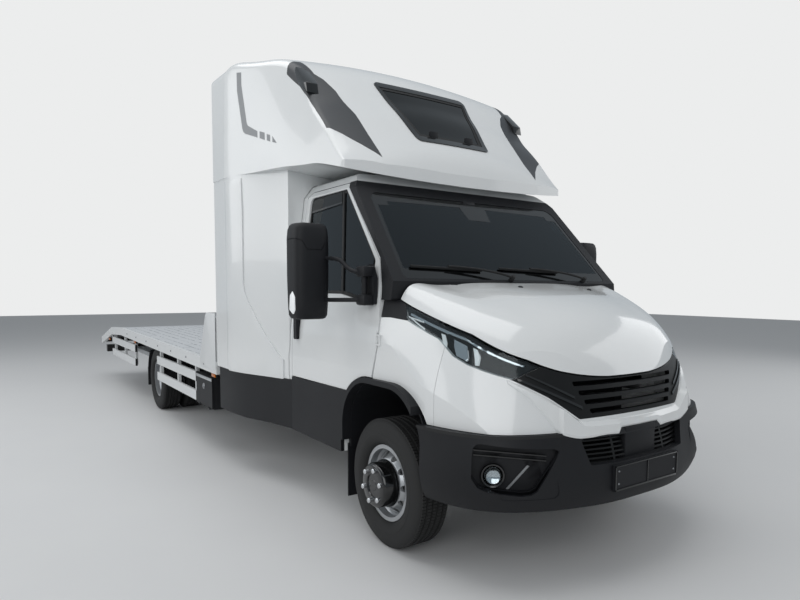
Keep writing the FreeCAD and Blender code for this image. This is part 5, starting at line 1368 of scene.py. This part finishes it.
@dataclass
class Windscreen:
    """Printed border, rain sensor and the two wipers."""

    core: Point = at(-0.8, 0.0, 1.4)
    pivots: tuple[float, float] = (-0.06, 0.62)
    print_depth: float = 0.0004
    foot: Flat = (0.093, 1.524)
    slope: Flat = (-0.598, 0.641)

    def on_glass(self, up: float, off: float, y: float) -> Point:
        """Turn a place on the sloping glass into the frame's own place.

        Args:
            up: Distance up the slope from the glass's foot.
            off: Distance out from the plane through the cab's skin.
            y: Place across the truck.

        Returns:
            The point.
        """
        back, rise = self.slope
        along = Vector((back, 0, rise)).normalized()
        out = Vector((rise, 0, -back)).normalized()
        return tuple(Vector(at(self.foot[0], y, self.foot[1])) + along * up + out * off)

    def border(self) -> None:
        """Print the black border, deep at the top, with the sensor's field and two corner tabs."""
        inner = [(-0.838, 1.606), (0.838, 1.606), (0.786, 2.008), (0.705, 2.012), (0.700, 2.040),
                 (0.115, 2.048), (0.095, 1.955), (-0.095, 1.955), (-0.115, 2.048), (-0.700, 2.040),
                 (-0.705, 2.012), (-0.786, 2.008)]
        tool = Bench.block("whole", at(-0.9, -1.0, 1.4), at(0.4, 1.0, 2.3))
        hole = Bench.plate("hole", [at(-1.0, y, z) for y, z in inner], (1.6, 0, 0))
        piece = Bench.patch("screen_border", "windscreen", Bench.cut(tool, hole), self.core,
                            self.print_depth, self.print_depth, 0.3)
        fit(piece, Look.PIANO)
        sensor = Bench.block("rain_sensor", at(-0.51, -0.055, 2.02), at(-0.43, 0.055, 2.10), 0.012)
        fit(sensor, Look.GRAINED)

    def wiper(self, y: float) -> list[Piece]:
        """Make one arm with its blade and rubber, parked low on the glass.

        Args:
            y: Place of the arm's pivot across the truck.

        Returns:
            The arm, its cap, the blade and the rubber.
        """
        arm = Bench.sweep("arm", [self.on_glass(u, h, y - d) for u, h, d in (
            (0.030, 0.026, 0.0), (0.045, 0.034, 0.05), (0.085, 0.032, 0.20), (0.112, 0.026, 0.38),
            (0.119, 0.022, 0.47))], 0.0075)
        spindle = (self.on_glass(0.032, 0.004, y), self.on_glass(0.032, 0.040, y))
        cap = Bench.rod("cap", *spindle, 0.017, 24, 0.013)
        section = [(-0.010, 0.003), (0.010, 0.003), (0.007, 0.012), (-0.003, 0.019), (-0.009, 0.012)]
        low = Vector(self.on_glass(0.106, 0, y - 0.21))
        along = Vector(self.on_glass(0.126, 0, y - 0.73)) - low
        blade = Bench.plate("blade", [self.on_glass(0.106 + u, h, y - 0.21) for u, h in section], along)
        lip = [(-0.0015, -0.0026), (0.0015, -0.0026), (0.003, 0.004), (-0.003, 0.004)]
        rubber = Bench.plate("lip", [self.on_glass(0.106 + u, h, y - 0.215) for u, h in lip], along * 0.98)
        return [arm, cap, Bench.bevel(blade, 0.002), rubber]

    def build(self) -> None:
        """Make the border and the wipers."""
        self.border()
        pieces = [part for y in self.pivots for part in self.wiper(y)]
        fit(Bench.join("wiper_arms", pieces), Look.SEAL, replaces=["wipers"])


@dataclass
class Bumper:
    """The bumper's moulding with its intake, lamp recesses, fog lamps and blank plate holder."""

    lamp_place: Point = (0.765, 0.807, 0.583)
    lamp_way: Flat = (0.821, 0.571)
    lamp_radius: float = 0.058
    floor_out: float = -0.010
    pocket_y: Flat = (0.548, 0.864)
    pocket_z: Flat = (0.462, 0.705)
    cup_front: float = 0.018
    cup_wall: float = 0.003
    plate_face: float = 1.0782
    plug_steps: int = 12
    plug_levels: int = 8
    corners: tuple[Flat, ...] = ((-0.100, 0.148), (-0.085, 0.164), (-0.060, 0.168), (0.300, 0.136),
                                 (0.325, 0.124), (0.310, 0.098), (0.208, -0.062), (0.180, -0.078),
                                 (0.132, -0.082), (-0.040, -0.062), (-0.080, -0.045), (-0.110, 0.0),
                                 (-0.108, 0.100))

    def spot(self, sign: int, across: float, rise: float, out: float) -> Point:
        """Turn a place in a lamp recess into the frame's own place.

        Args:
            sign: 1 on the left side and -1 on the right.
            across: Distance from the lamp towards the truck's middle.
            rise: Height over the lamp's middle.
            out: Distance out of the lamp's plane.

        Returns:
            The point.
        """
        x, y, z = self.lamp_place
        way = Vector((self.lamp_way[0], self.lamp_way[1], 0))
        inward = Vector((way.y, -way.x, 0))
        place = Vector((x, y, z)) + way * out + inward * across + Vector((0, 0, rise))
        return at(place.x, sign * place.y, place.z)

    def outline(self, sign: int, grow: float, out: float) -> list[Point]:
        """Give the lamp recess's outline on a plane square to the lamp.

        Args:
            sign: 1 on the left side and -1 on the right.
            grow: How far it is widened all round.
            out: Distance out of the lamp's plane.

        Returns:
            The corners in order.
        """
        points = []
        for across, rise in self.corners:
            scale = 1 + grow / math.hypot(across, rise)
            points.append(self.spot(sign, across * scale, rise * scale, out))
        return points

    def reach(self, sign: int, length: float) -> Point:
        """Give the way out of a lamp recess, as long as asked."""
        return (self.lamp_way[0] * length, sign * self.lamp_way[1] * length, 0)

    def plug(self, skin: Piece, sign: int) -> Piece:
        """Make a solid that closes the CAD node's own small pocket, flush with its skin.

        Args:
            skin: The bumper's moulding.
            sign: 1 on the left side and -1 on the right.

        Returns:
            The solid.
        """
        bpy.context.view_layer.update()
        (near, far), (foot, head) = self.pocket_y, self.pocket_z
        swell = [front_x(skin, sign * y, (foot + head) / 2)
                 - (front_x(skin, sign * y, foot) + front_x(skin, sign * y, head)) / 2 for y in (near, far)]
        rings = []
        for step in range(self.plug_steps + 1):
            share = step / self.plug_steps
            y = near + (far - near) * share
            low, high = front_x(skin, sign * y, foot), front_x(skin, sign * y, head)
            face = []
            for level in range(self.plug_levels + 1):
                up = 0.04 + 0.92 * level / self.plug_levels
                x = low + (high - low) * up + (swell[0] * (1 - share) + swell[1] * share) * 4 * up * (1 - up)
                face.append((x - 0.0003, sign * y, foot + (head - foot) * up))
            rings.append(face + [(x - 0.02, y, z) for x, y, z in reversed(face)])
        return Bench.rings("plug", rings)

    def moulding(self) -> None:
        """Copy the CAD node's skin and give it wider lamp recesses."""
        skin = Bench.shell("bumper_skin", "front_bumper")
        for sign in SIDES.values():
            skin = Bench.cut(skin, self.plug(skin, sign), "UNION")
            skin = Bench.cut(skin, Bench.plate("recess", self.outline(sign, 0.0, self.floor_out),
                                               self.reach(sign, 0.3)))
        fit(skin, Look.GRAINED, replaces=["front_bumper"], angle=25)

    def cup(self, side: str, sign: int) -> None:
        """Line one recess with a shallow cup, and add its strip and brow.

        Args:
            side: The side's name, which ends the pieces' names.
            sign: 1 on the left side and -1 on the right.
        """
        cup = Bench.plate(f"fog_cup_{side}", self.outline(sign, 0.0003, self.floor_out - self.cup_wall),
                          self.reach(sign, self.cup_front - self.floor_out + self.cup_wall))
        way = Vector(self.reach(sign, 1.0))
        Bench.pick(cup, lambda place, normal: normal.dot(way) > 0.9)
        bpy.ops.mesh.inset(thickness=self.cup_wall)
        bpy.ops.mesh.extrude_region_move(TRANSFORM_OT_translate={
            "value": self.reach(sign, self.floor_out - self.cup_front)})
        bpy.ops.object.mode_set(mode="OBJECT")
        fit(cup, Look.GRAINED)
        low = self.floor_out
        strip = Bench.plate(f"fog_strip_{side}", [self.spot(sign, across, rise, low) for across, rise in (
            (0.066, -0.070), (0.080, -0.072), (0.182, 0.044), (0.170, 0.048))], self.reach(sign, 0.008))
        fit(Bench.bevel(strip, 0.002), Look.SHADE_FILM, "silver_steel")
        brows = [Bench.plate(f"brow_{rise}", [self.spot(sign, across, rise + lift, low) for across, lift in (
            (-0.096, 0.022), (0.262, -0.010), (0.262, -0.015), (-0.096, 0.016))], self.reach(sign, 0.016))
            for rise in (0.084, 0.108)]
        fit(Bench.join(f"fog_brow_{side}", brows), Look.PIANO)

    def fog_lamp(self, side: str, sign: int) -> None:
        """Make one round lamp in its recess: bezel, bowl and clear lens.

        Args:
            side: The side's name, which ends the pieces' names.
            sign: 1 on the left side and -1 on the right.
        """
        centre = self.spot(sign, 0, 0, 0)
        way = self.reach(sign, 1.0)
        rim = self.lamp_radius
        low = self.floor_out
        profiles = {"bezel": [(low, rim * 0.7), (low, rim), (0.008, rim + 0.004), (0.014, rim),
                              (0.012, rim - 0.008), (0.0, rim - 0.014)],
                    "bowl": [(low, 0.0), (low, 0.043), (0.005, 0.043), (-0.003, 0.030), (-0.007, 0.0)],
                    "lens": [(0.006, 0.0), (0.003, 0.0435), (0.006, 0.0435), (0.010, 0.0)]}
        bezel, bowl, lens = (Bench.turned(f"fog_{name}_{side}", profile, centre, 48, way)
                             for name, profile in profiles.items())
        for piece, look, slot in ((bezel, Look.PIANO, "black_plastic"), (bowl, Look.CHROME, "lamp_lens"),
                                  (lens, Look.LENS, "lamp_lens")):
            fit(piece, look, slot)

    def plate_rim(self) -> None:
        """Make the holder's rim, its middle rib and four screws; no plate is fitted."""
        face = self.plate_face
        bars = [((-0.266, 0.480), (0.266, 0.490)), ((-0.266, 0.603), (0.266, 0.610)),
                ((-0.266, 0.480), (-0.259, 0.610)), ((0.259, 0.480), (0.266, 0.610)),
                ((-0.003, 0.490), (0.003, 0.603))]
        parts = [Bench.block(f"rim_{index}", at(face, *low), at(face + 0.004, *high), 0.001)
                 for index, (low, high) in enumerate(bars)]
        fit(Bench.join("plate_rim", parts), Look.PIANO)
        screws = [Bench.rod(f"screw_{y}_{z}", at(face, y, z), at(face + 0.003, y, z), 0.006, 20, 0.004)
                  for y in (-0.235, 0.235) for z in (0.515, 0.580)]
        fit(Bench.join("plate_screws", screws), Look.NUTS)

    def build(self) -> None:
        """Make the whole bumper."""
        self.moulding()
        for side, sign in SIDES.items():
            self.cup(side, sign)
            self.fog_lamp(side, sign)
        self.plate_rim()
        block = Bench.block("intake_block", at(0.975, -0.128, 0.615), at(1.030, 0.128, 0.783), 0.008)
        fit(block, Look.GRAINED)


@dataclass
class Nose:
    """Grille ridges, the white moulding under the grille, the radiator and the washer jets."""

    core: Point = at(0.3, 0.0, 0.7)
    raised: float = 0.007
    skin: float = 0.0003
    jet_places: tuple[Flat, ...] = ((0.25, -0.145), (0.25, 0.485))
    moulding: tuple[Point, ...] = (
        (0.0, 0.826, 0.785), (0.155, 0.8265, 0.785), (0.178, 0.827, 0.758), (0.37, 0.832, 0.756),
        (0.405, 0.838, 0.756), (0.43, 0.855, 0.757), (0.46, 0.877, 0.762), (0.49, 0.899, 0.770),
        (0.515, 0.917, 0.778), (0.53, 0.928, 0.784), (0.542, 0.937, 0.790), (0.555, 0.946, 0.806),
        (0.58, 0.962, 0.850), (0.66, 1.011, 0.962), (0.728, 1.048, 1.028))

    def front_patch(self, name: str, node: str, outline: Sequence[Flat], depth: Flat, thickness: float,
                    look: Look) -> None:
        """Lay a thin form on a front skin from its front outline (y, z) on both sides.

        Args:
            name: Name of the pieces, less their side.
            node: The CAD node that carries them.
            outline: Corners on the left side.
            depth: The limits of x that hold the skin.
            thickness: How far it stands off the skin.
            look: Its finish.
        """
        for side, sign in SIDES.items():
            zone = Bench.plate("zone", [at(depth[0], sign * y, z) for y, z in outline],
                               (depth[1] - depth[0], 0, 0))
            fit(Bench.patch(f"{name}_{side}", node, zone, self.core, self.skin, thickness, 0.2), look)

    @staticmethod
    def skin_x(y: float, z: float) -> float:
        """Find how far forward the white panels and the bumper reach at a place."""
        return max(front_x(bpy.data.objects[name], y, z) for name in ("front_panels", "bumper_skin"))

    def white_moulding(self) -> None:
        """Make the raised white band that frames the grille from below, with a facet on its top."""
        rings = []
        full = [(-y, top, low) for y, top, low in reversed(self.moulding[1:])] + list(self.moulding)
        for y, top, low in full:
            drop = top - low
            spots = [self.skin_x(y, top - drop * share) for share in (0.15, 0.35, 0.65, 0.97)]
            back = min(spots) - 0.02
            face = max(spots[2:]) + self.raised
            facet = max(spots[1] + self.raised, face - 0.004)
            rings.append([(back, y, top), (spots[0] + 0.001, y, top),
                          (facet, y, top - min(0.020, drop * 0.3)),
                          (face, y, low + min(0.012, drop * 0.2)), (face - 0.005, y, low), (back, y, low)])
        piece = Bench.rings("white_moulding", rings)
        fit(piece, Look.PAINT, "white_paint", angle=20)

    def radiator(self) -> None:
        """Stand the radiator on the front beam, behind both grilles, over a black plate of painted shade
        that closes the intake's floor.
        """
        tanks = [Bench.block(f"tank_{sign}", at(0.566, sign * 0.30, 0.611), at(0.626, sign * 0.37, 0.985),
                             0.008) for sign in (1, -1)]
        fit(Bench.join("radiator_tanks", tanks), Look.GRAINED)
        core = Bench.block("radiator_core", at(0.572, -0.30, 0.611), at(0.620, 0.30, 0.975), 0.002)
        fit(core, Look.CORE, "black_steel")
        # A black plate under the radiator that closes the intake's floor from view: painted shade.
        floor_shade = Bench.plate("intake_floor_shade_plate", [at(x, y, 0.607) for x, y in (
            (0.60, -0.36), (0.955, -0.36), (0.985, -0.12), (0.985, 0.12), (0.955, 0.36), (0.60, 0.36))],
            (0, 0, 0.006))
        fit(floor_shade, Look.SEAL)

    def jets(self) -> None:
        """Set two washer jets in the bonnet."""
        skin = bpy.data.objects["bonnet"]
        domes = []
        dome = [(-0.001, 0.0), (-0.001, 0.017), (0.004, 0.015), (0.008, 0.009), (0.009, 0.0)]
        for x, y in self.jet_places:
            _, place, normal, _ = skin.ray_cast(Vector(at(x, y, 2.0)), Vector((0, 0, -1)))
            domes.append(Bench.turned(f"jet_{y}", dome, tuple(place), 24, tuple(normal)))
        fit(Bench.join("washer_jets", domes), Look.GRAINED, body="bonnet")

    def build(self) -> None:
        """Make every fitting of the nose."""
        ridges = {"grille_ridge_low": [(0.385, 0.893), (0.68, 1.040), (0.68, 1.052), (0.385, 0.908)],
                  "grille_ridge_high": [(0.42, 0.945), (0.64, 1.062), (0.64, 1.072), (0.42, 0.958)]}
        for name, outline in ridges.items():
            self.front_patch(name, "grille", outline, (0.7, 1.1), self.raised, Look.PIANO)
        # A matte black band along the bumper's top edge, where it tucks in under the white panel: a painted
        # shadow of the gap there.
        shadow_strip = [(0.50, 0.774), (1.03, 0.774), (1.03, 0.80), (0.50, 0.80)]
        self.front_patch("bumper_shadow_band", "front_bumper", shadow_strip, (0.0, 1.1), 0.0008, Look.SEAL)
        self.white_moulding()
        self.radiator()
        self.jets()


@dataclass
class Cabin:
    """Stuffed seats and mattress, their plinths and shelf, the felt lining and the dash hood."""

    voxel: float = 0.012
    pressure: float = 4.0
    frames: int = 20
    swell: float = 0.014
    margin: float = 0.010
    core: Point = at(-0.75, 0.0, 1.45)
    felt: float = 0.003
    lining_half: float = 0.955
    lining_foot: float = 0.69
    seats: tuple[Flat, ...] = ((0.18, 0.70), (-0.72, 0.08))

    def stuffed(self, piece: Piece, look: Look) -> None:
        """Blow a tight block up into a stuffed form by a short cloth simulation.

        Args:
            piece: The block, a little smaller than the cushion.
            look: Its cloth.
        """
        Bench.modify(piece, "REMESH", mode="VOXEL", voxel_size=self.voxel)
        before = [vertex.co.copy() for vertex in piece.data.vertices]
        Bench.hold(piece)
        cloth = piece.modifiers.new("cloth", "CLOTH")
        cloth.settings.use_pressure = True
        cloth.settings.uniform_pressure_force = self.pressure
        cloth.settings.effector_weights.gravity = 0
        for step in range(1, self.frames + 1):
            bpy.context.scene.frame_set(step)
        bpy.ops.object.modifier_apply(modifier=cloth.name)
        bpy.context.scene.frame_set(1)
        for vertex, start in zip(piece.data.vertices, before):
            move = vertex.co - start
            if move.length > self.swell:
                vertex.co = start + move.normalized() * self.swell
        Bench.modify(piece, "SUBSURF", levels=1, render_levels=1)
        fit(piece, look, "seat_fabric", replaces=["seats_and_bunk"], angle=60)

    def cushion(self, name: str, outline: Sequence[Flat], limits: Flat, look: Look) -> None:
        """Make one cushion from its side outline (x, z) and its limits across the truck.

        Args:
            name: Name of the cushion.
            outline: Corners of its side outline in order.
            limits: Its two limits across the truck.
            look: Its cloth.
        """
        low, high = limits[0] + self.margin, limits[1] - self.margin
        block = Bench.plate(name, [at(x, low, z) for x, z in outline], (0, high - low, 0))
        self.stuffed(Bench.bevel(block, 0.022, 3), look)

    def soft(self) -> None:
        """Make the seats and the mattress."""
        for (low, high), place in zip(self.seats, ("driver", "passenger")):
            self.cushion(f"seat_cushion_{place}", [(-0.585, 0.893), (-0.60, 1.018), (-1.045, 0.992),
                                                   (-1.07, 0.893)], (low, high), Look.CLOTH)
            self.cushion(f"seat_back_{place}", [(-1.075, 1.012), (-1.022, 1.03), (-1.15, 1.68),
                                                (-1.212, 1.68), (-1.178, 1.015)], (low + 0.02, high - 0.02),
                         Look.CLOTH)
        self.cushion("bunk_mattress", [(-2.235, 1.512), (-2.235, 1.626), (-1.515, 1.626), (-1.515, 1.512)],
                     (-0.99, 0.99), Look.TICKING)

    def hard(self) -> None:
        """Make the seat plinths and the bunk's shelf."""
        parts = [Bench.block(f"plinth_{low}", at(-1.02, low + 0.06, 0.7005), at(-0.64, high - 0.06, 0.892),
                             0.01) for low, high in self.seats]
        parts.append(Bench.block("shelf", at(-2.291, -1.0, 1.46), at(-1.50, 1.0, 1.5115), 0.006))
        fit(Bench.join("seat_plinths", parts), Look.GRAINED, replaces=["seats_and_bunk"])

    def lining(self) -> None:
        """Line the cab's inner faces with felt."""
        piece = Bench.shell("cab_lining", "cab_shell")
        middle = Vector(self.core)
        Bench.trim(piece, lambda place, normal: normal.dot((place - middle).normalized()) > -0.5
                   or abs(place.y) > self.lining_half or place.z < self.lining_foot)
        Bench.modify(piece, "SOLIDIFY", thickness=self.felt, offset=1.0)
        fit(piece, Look.LINING)

    def dash(self) -> None:
        """Add the instrument hood and the screen with its back."""
        form = [(-0.20, 1.43), (-0.40, 1.41), (-0.40, 1.448), (-0.34, 1.49), (-0.22, 1.478)]
        hood = Bench.plate("hood", [at(x, 0.24, z) for x, z in form], (0, 0.36, 0))
        screen = Bench.block("dash_screen", at(-0.43, -0.10, 1.40), at(-0.415, 0.13, 1.53), 0.004)
        back = Bench.block("screen_back", at(-0.418, -0.06, 1.40), at(-0.38, 0.09, 1.50), 0.006)
        fit(Bench.join("dash_hood", [Bench.bevel(hood, 0.012, 3), back]), Look.SOFT_TRIM)
        fit(screen, Look.PIANO)

    def build(self) -> None:
        """Make the cabin."""
        self.soft()
        self.hard()
        self.lining()
        self.dash()


@dataclass
class DeckFittings:
    """Lamps, rail bolts, head boards, guard caps and box locks along the deck."""

    marker_x: tuple[float, ...] = (-2.48, -5.88, -7.86)
    rail_low: tuple[float, ...] = (0.7485, 0.787, 0.690)
    bolt_pitch: float = 0.6
    bolt_limits: Flat = (-2.70, -6.7)
    bolt_drop: float = 0.055
    bolt_head: float = 0.0054
    rail_head: Flat = (-2.335, 0.855)
    rail_fall: float = 0.011324
    rail_face: float = 1.2001
    board: tuple[Flat, ...] = (
        (-2.801, 0.785), (-2.801, 0.874), (-2.630, 1.232), (-2.612, 1.256), (-2.585, 1.268),
        (-2.345, 1.270), (-2.345, 0.785))
    lens_face: float = -8.4202

    @staticmethod
    def both(piece: Piece, look: Look, slot: str = "black_plastic", body: str = "chassis") -> None:
        """Fit a left piece and its copy on the right, where a body's own name ends in its side.

        Args:
            piece: The left piece.
            look: The finish of both.
            slot: Material slot of both.
            body: The body that carries the left one.
        """
        other = Bench.other_side(piece, piece.name.replace("left", "right"))
        fit(piece, look, slot, body)
        fit(other, look, slot, body.replace("left", "right"))

    def markers(self) -> None:
        """Hang amber side lamps under the deck's rail."""
        bases, lenses = [], []
        for x, low in zip(self.marker_x, self.rail_low):
            bases.append(Bench.block(f"base_{x}", at(x - 0.055, 1.158, low - 0.042),
                                     at(x + 0.055, 1.176, low), 0.003))
            lenses.append(Bench.block(f"lens_{x}", at(x - 0.050, 1.176, low - 0.038),
                                      at(x + 0.050, 1.188, low - 0.006), 0.004))
        self.both(Bench.join("marker_base_left", bases), Look.GRAINED)
        self.both(Bench.join("marker_lens_left", lenses), Look.AMBER, "lamp_lens")

    def tail_lamps(self) -> None:
        """Put coloured lenses on the rear bar's lamps."""
        for name, low, high, look in (("stop", 0.785, 0.935, Look.RED), ("turn", 0.937, 1.025, Look.AMBER),
                                      ("reverse", 1.027, 1.115, Look.LENS)):
            lens = Bench.block(f"tail_lens_{name}_left", at(self.lens_face - 0.014, low, 0.450),
                               at(self.lens_face, high, 0.525), 0.005)
            self.both(lens, look, "lamp_lens")

    def bolts(self) -> None:
        """Put round bolt heads along the outer face of the deck's rails."""
        heads = []
        x, last = self.bolt_limits
        while x > last:
            z = self.rail_head[1] + (self.rail_head[0] - x) * self.rail_fall - self.bolt_drop
            start, end = at(x, self.rail_face, z), at(x, self.rail_face + self.bolt_head, z)
            heads.append(Bench.rod(f"bolt_{x:.1f}", start, end, 0.011, 16, 0.007))
            x -= self.bolt_pitch
        self.both(Bench.join("rail_bolts_left", heads), Look.NUTS, "silver_steel")

    def head_boards(self) -> None:
        """Bolt a plate with a round corner to each rail, where it meets the pod."""
        board = Bench.plate("head_board_left", [at(x, self.rail_face, z) for x, z in self.board],
                            (0, 0.004, 0))
        self.both(Bench.bevel(board, 0.0015), Look.WHITE_STEEL, "white_paint")

    def caps(self) -> None:
        """Close the ends of the guard rails with black caps."""
        ends = ((-3.089, (0.598, 0.414)), (-4.706, (0.598, 0.414)),
                (-5.954, (0.626, 0.442)), (-7.706, (0.626, 0.442)))
        caps = [Bench.block(f"cap_{x}_{z}", at(x - 0.006, 1.1435, z - 0.001),
                            at(x + 0.006, 1.1685, z + 0.093), 0.002) for x, levels in ends for z in levels]
        self.both(Bench.join("guard_caps_left", caps), Look.GRAINED)

    def boxes(self) -> None:
        """Put the metal strip and the lock on each tool box lid."""
        strip = Bench.block("box_strip_left", at(-3.07, 1.1685, 0.652), at(-2.59, 1.1715, 0.679), 0.001)
        self.both(strip, Look.ANODISED, "silver_steel", "toolbox_lid_left")
        lock = Bench.turned("box_lock_left", [(-0.001, 0.0), (-0.001, 0.030), (0.004, 0.028), (0.004, 0.015),
                                              (0.010, 0.012), (0.010, 0.0)], at(-2.83, 1.1687, 0.585), 32)
        self.both(lock, Look.NUTS, "silver_steel", "toolbox_lid_left")

    def build(self) -> None:
        """Make every fitting of the deck."""
        self.markers()
        self.tail_lamps()
        self.bolts()
        self.head_boards()
        self.caps()
        self.boxes()


@dataclass
class PodTrim:
    """Films, side steps, roof lamps, skirts and the roof window's frame on the moulded pod."""

    film: float = 0.0004
    lift: float = 0.0005
    step_height: float = 0.009
    core: Point = at(-1.5, 0.0, 1.6)

    def skin_patch(self, name: str, node: str, zone: Piece, lift: float, thickness: float) -> Piece:
        """Make a thin form on the pod's skin or its window within a zone."""
        return Bench.patch(name, node, zone, self.core, lift, thickness, 0.35)

    def stripes(self, side: str, sign: int) -> None:
        """Lay the grey films on one side: a bent stripe, two blocks and a triangle.

        Args:
            side: The side's name, which ends the pieces' names.
            sign: 1 on the left side and -1 on the right.
        """
        films = {
            "film_upright": [(-1.850, 3.126), (-1.785, 3.114), (-1.781, 3.015), (-1.702, 2.722),
                             (-1.685, 2.700), (-1.552, 2.637), (-1.548, 2.591), (-1.715, 2.645),
                             (-1.745, 2.662), (-1.761, 2.692), (-1.841, 2.987)],
            "film_block_rear": [(-1.522, 2.632), (-1.451, 2.610), (-1.443, 2.557), (-1.515, 2.581)],
            "film_block_front": [(-1.421, 2.596), (-1.373, 2.580), (-1.363, 2.532), (-1.412, 2.549)],
            "film_triangle": [(-1.343, 2.569), (-1.273, 2.508), (-1.333, 2.524)]}
        for name, outline in films.items():
            piece = self.skin_patch(f"{name}_{side}", "pod_shell", side_zone(outline, sign, 0.55, 0.9),
                                    self.lift, self.film)
            fit(piece, Look.SHADE_FILM, "white_grp")

    def step(self, side: str, sign: int) -> None:
        """Raise the side's rear and lower part by a soft step that runs forward to the door.

        Args:
            side: The side's name, which ends the pieces' names.
            sign: 1 on the left side and -1 on the right.
        """
        outline = [(-2.03, 2.318), (-1.779, 2.318), (-1.768, 2.076), (-1.768, 1.80), (-1.769, 1.516),
                   (-1.750, 1.445), (-1.705, 1.372), (-1.603, 1.238), (-1.500, 1.115), (-1.400, 1.020),
                   (-1.340, 0.978), (-1.312, 0.968), (-1.312, 0.82), (-2.03, 0.82)]
        piece = self.skin_patch(f"pod_step_{side}", "pod_shell", side_zone(outline, sign, 0.55, 0.9),
                                -0.001, self.step_height + 0.001)
        fit(Bench.bevel(piece, self.step_height * 0.75, 4, 50), Look.GELCOAT, "white_grp")

    def ridge(self, side: str, sign: int) -> None:
        """Lay the long dark film along the roof's edge, from the marker lamp to its tip.

        Args:
            side: The side's name, which ends the pieces' names.
            sign: 1 on the left side and -1 on the right.
        """
        outline = [(-1.233, 1.005), (-1.069, 0.981), (-0.883, 0.964), (-0.706, 0.962), (-0.650, 0.876),
                   (-0.576, 0.786), (-0.473, 0.686), (-0.604, 0.691), (-0.786, 0.709), (-0.968, 0.762),
                   (-1.041, 0.821), (-1.078, 0.870), (-1.233, 0.905)]
        zone = Bench.plate("top_zone", [at(x, sign * y, 1.9) for x, y in outline], (0, 0, 1.6))
        piece = self.skin_patch(f"film_ridge_{side}", "pod_shell", zone, self.lift, self.film)
        fit(piece, Look.FILM, "white_grp")

    def window_ring(self, name: str, outer: Flat, inner: Flat, rise: Flat, drop: Flat,
                    look: Look, lift: float, thickness: float) -> None:
        """Lay a frame round the roof window.

        Args:
            name: Name of the piece.
            outer: Half width of the frame at its foot and at its head.
            inner: The same of the opening in it.
            rise: Heights of the frame's foot and head.
            drop: Heights of the opening's foot and head.
            look: Its finish.
            lift: How far it stands off the pane.
            thickness: How thick it is.
        """
        corners = [(-outer[0], rise[0]), (outer[0], rise[0]), (outer[1], rise[1]), (-outer[1], rise[1])]
        holes = [(-inner[0], drop[0]), (inner[0], drop[0]), (inner[1], drop[1]), (-inner[1], drop[1])]
        tool = Bench.plate("ring", [at(-1.28, y, z) for y, z in corners], (0.98, 0, 0))
        tool = Bench.cut(tool, Bench.plate("hole", [at(-1.4, y, z) for y, z in holes], (1.3, 0, 0)))
        fit(self.skin_patch(name, "roof_window", tool, lift, thickness), look)

    def build(self) -> None:
        """Dress the whole pod."""
        for side, sign in SIDES.items():
            self.stripes(side, sign)
            self.ridge(side, sign)
            self.step(side, sign)
        lamps = Bench.bevel(Bench.shell("roof_markers", "marker_lamps"), 0.012, 3)
        fit(lamps, Look.PIANO, replaces=["marker_lamps"])
        skirts = Bench.shell("pod_skirt_skin", "pod_skirts")
        fit(skirts, Look.GRAINED, replaces=["pod_skirts"])
        self.window_ring("window_frame", (0.34, 0.44), (0.285, 0.392), (2.49, 3.02), (2.545, 2.958),
                         Look.PIANO, 0.001, 0.006)
        self.window_ring("window_seal", (0.285, 0.392), (0.262, 0.372), (2.545, 2.958), (2.568, 2.936),
                         Look.SEAL, 0.0005, 0.003)
        for side, sign in SIDES.items():
            y = sign * 0.16
            latch = Bench.block(f"window_latch_{side}", at(-0.655, y - 0.035, 2.555),
                                at(-0.635, y + 0.035, 2.60), 0.004)
            fit(latch, Look.GRAINED)


def dress_nodes(frame: dict) -> None:
    """Give each carried-over CAD node its finish.
    """
    for name, look in NODE_LOOKS.items():
        node = frame["nodes"].get(name)
        if node is None:
            raise ValueError(f"no CAD node is called {name}")
        for slot in node.material_slots:
            slot.material = look.make()
        LOG.info("dressed %s as %s", name, look.value.name)


def main() -> None:
    """Build the studio and the truck's pieces."""
    logging.basicConfig(level=logging.INFO, format="%(message)s")
    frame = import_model()
    Studio().build()
    dress_nodes(frame)
    parts = (Wheels(Tyre()), Headlamps(), Mirrors(), DoorWindows(), Windscreen(), Bumper(), Nose(),
             PodTrim(), Cabin(), DeckFittings())
    for part in parts:
        part.build()
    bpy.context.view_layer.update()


if __name__ == "__main__":
    main()
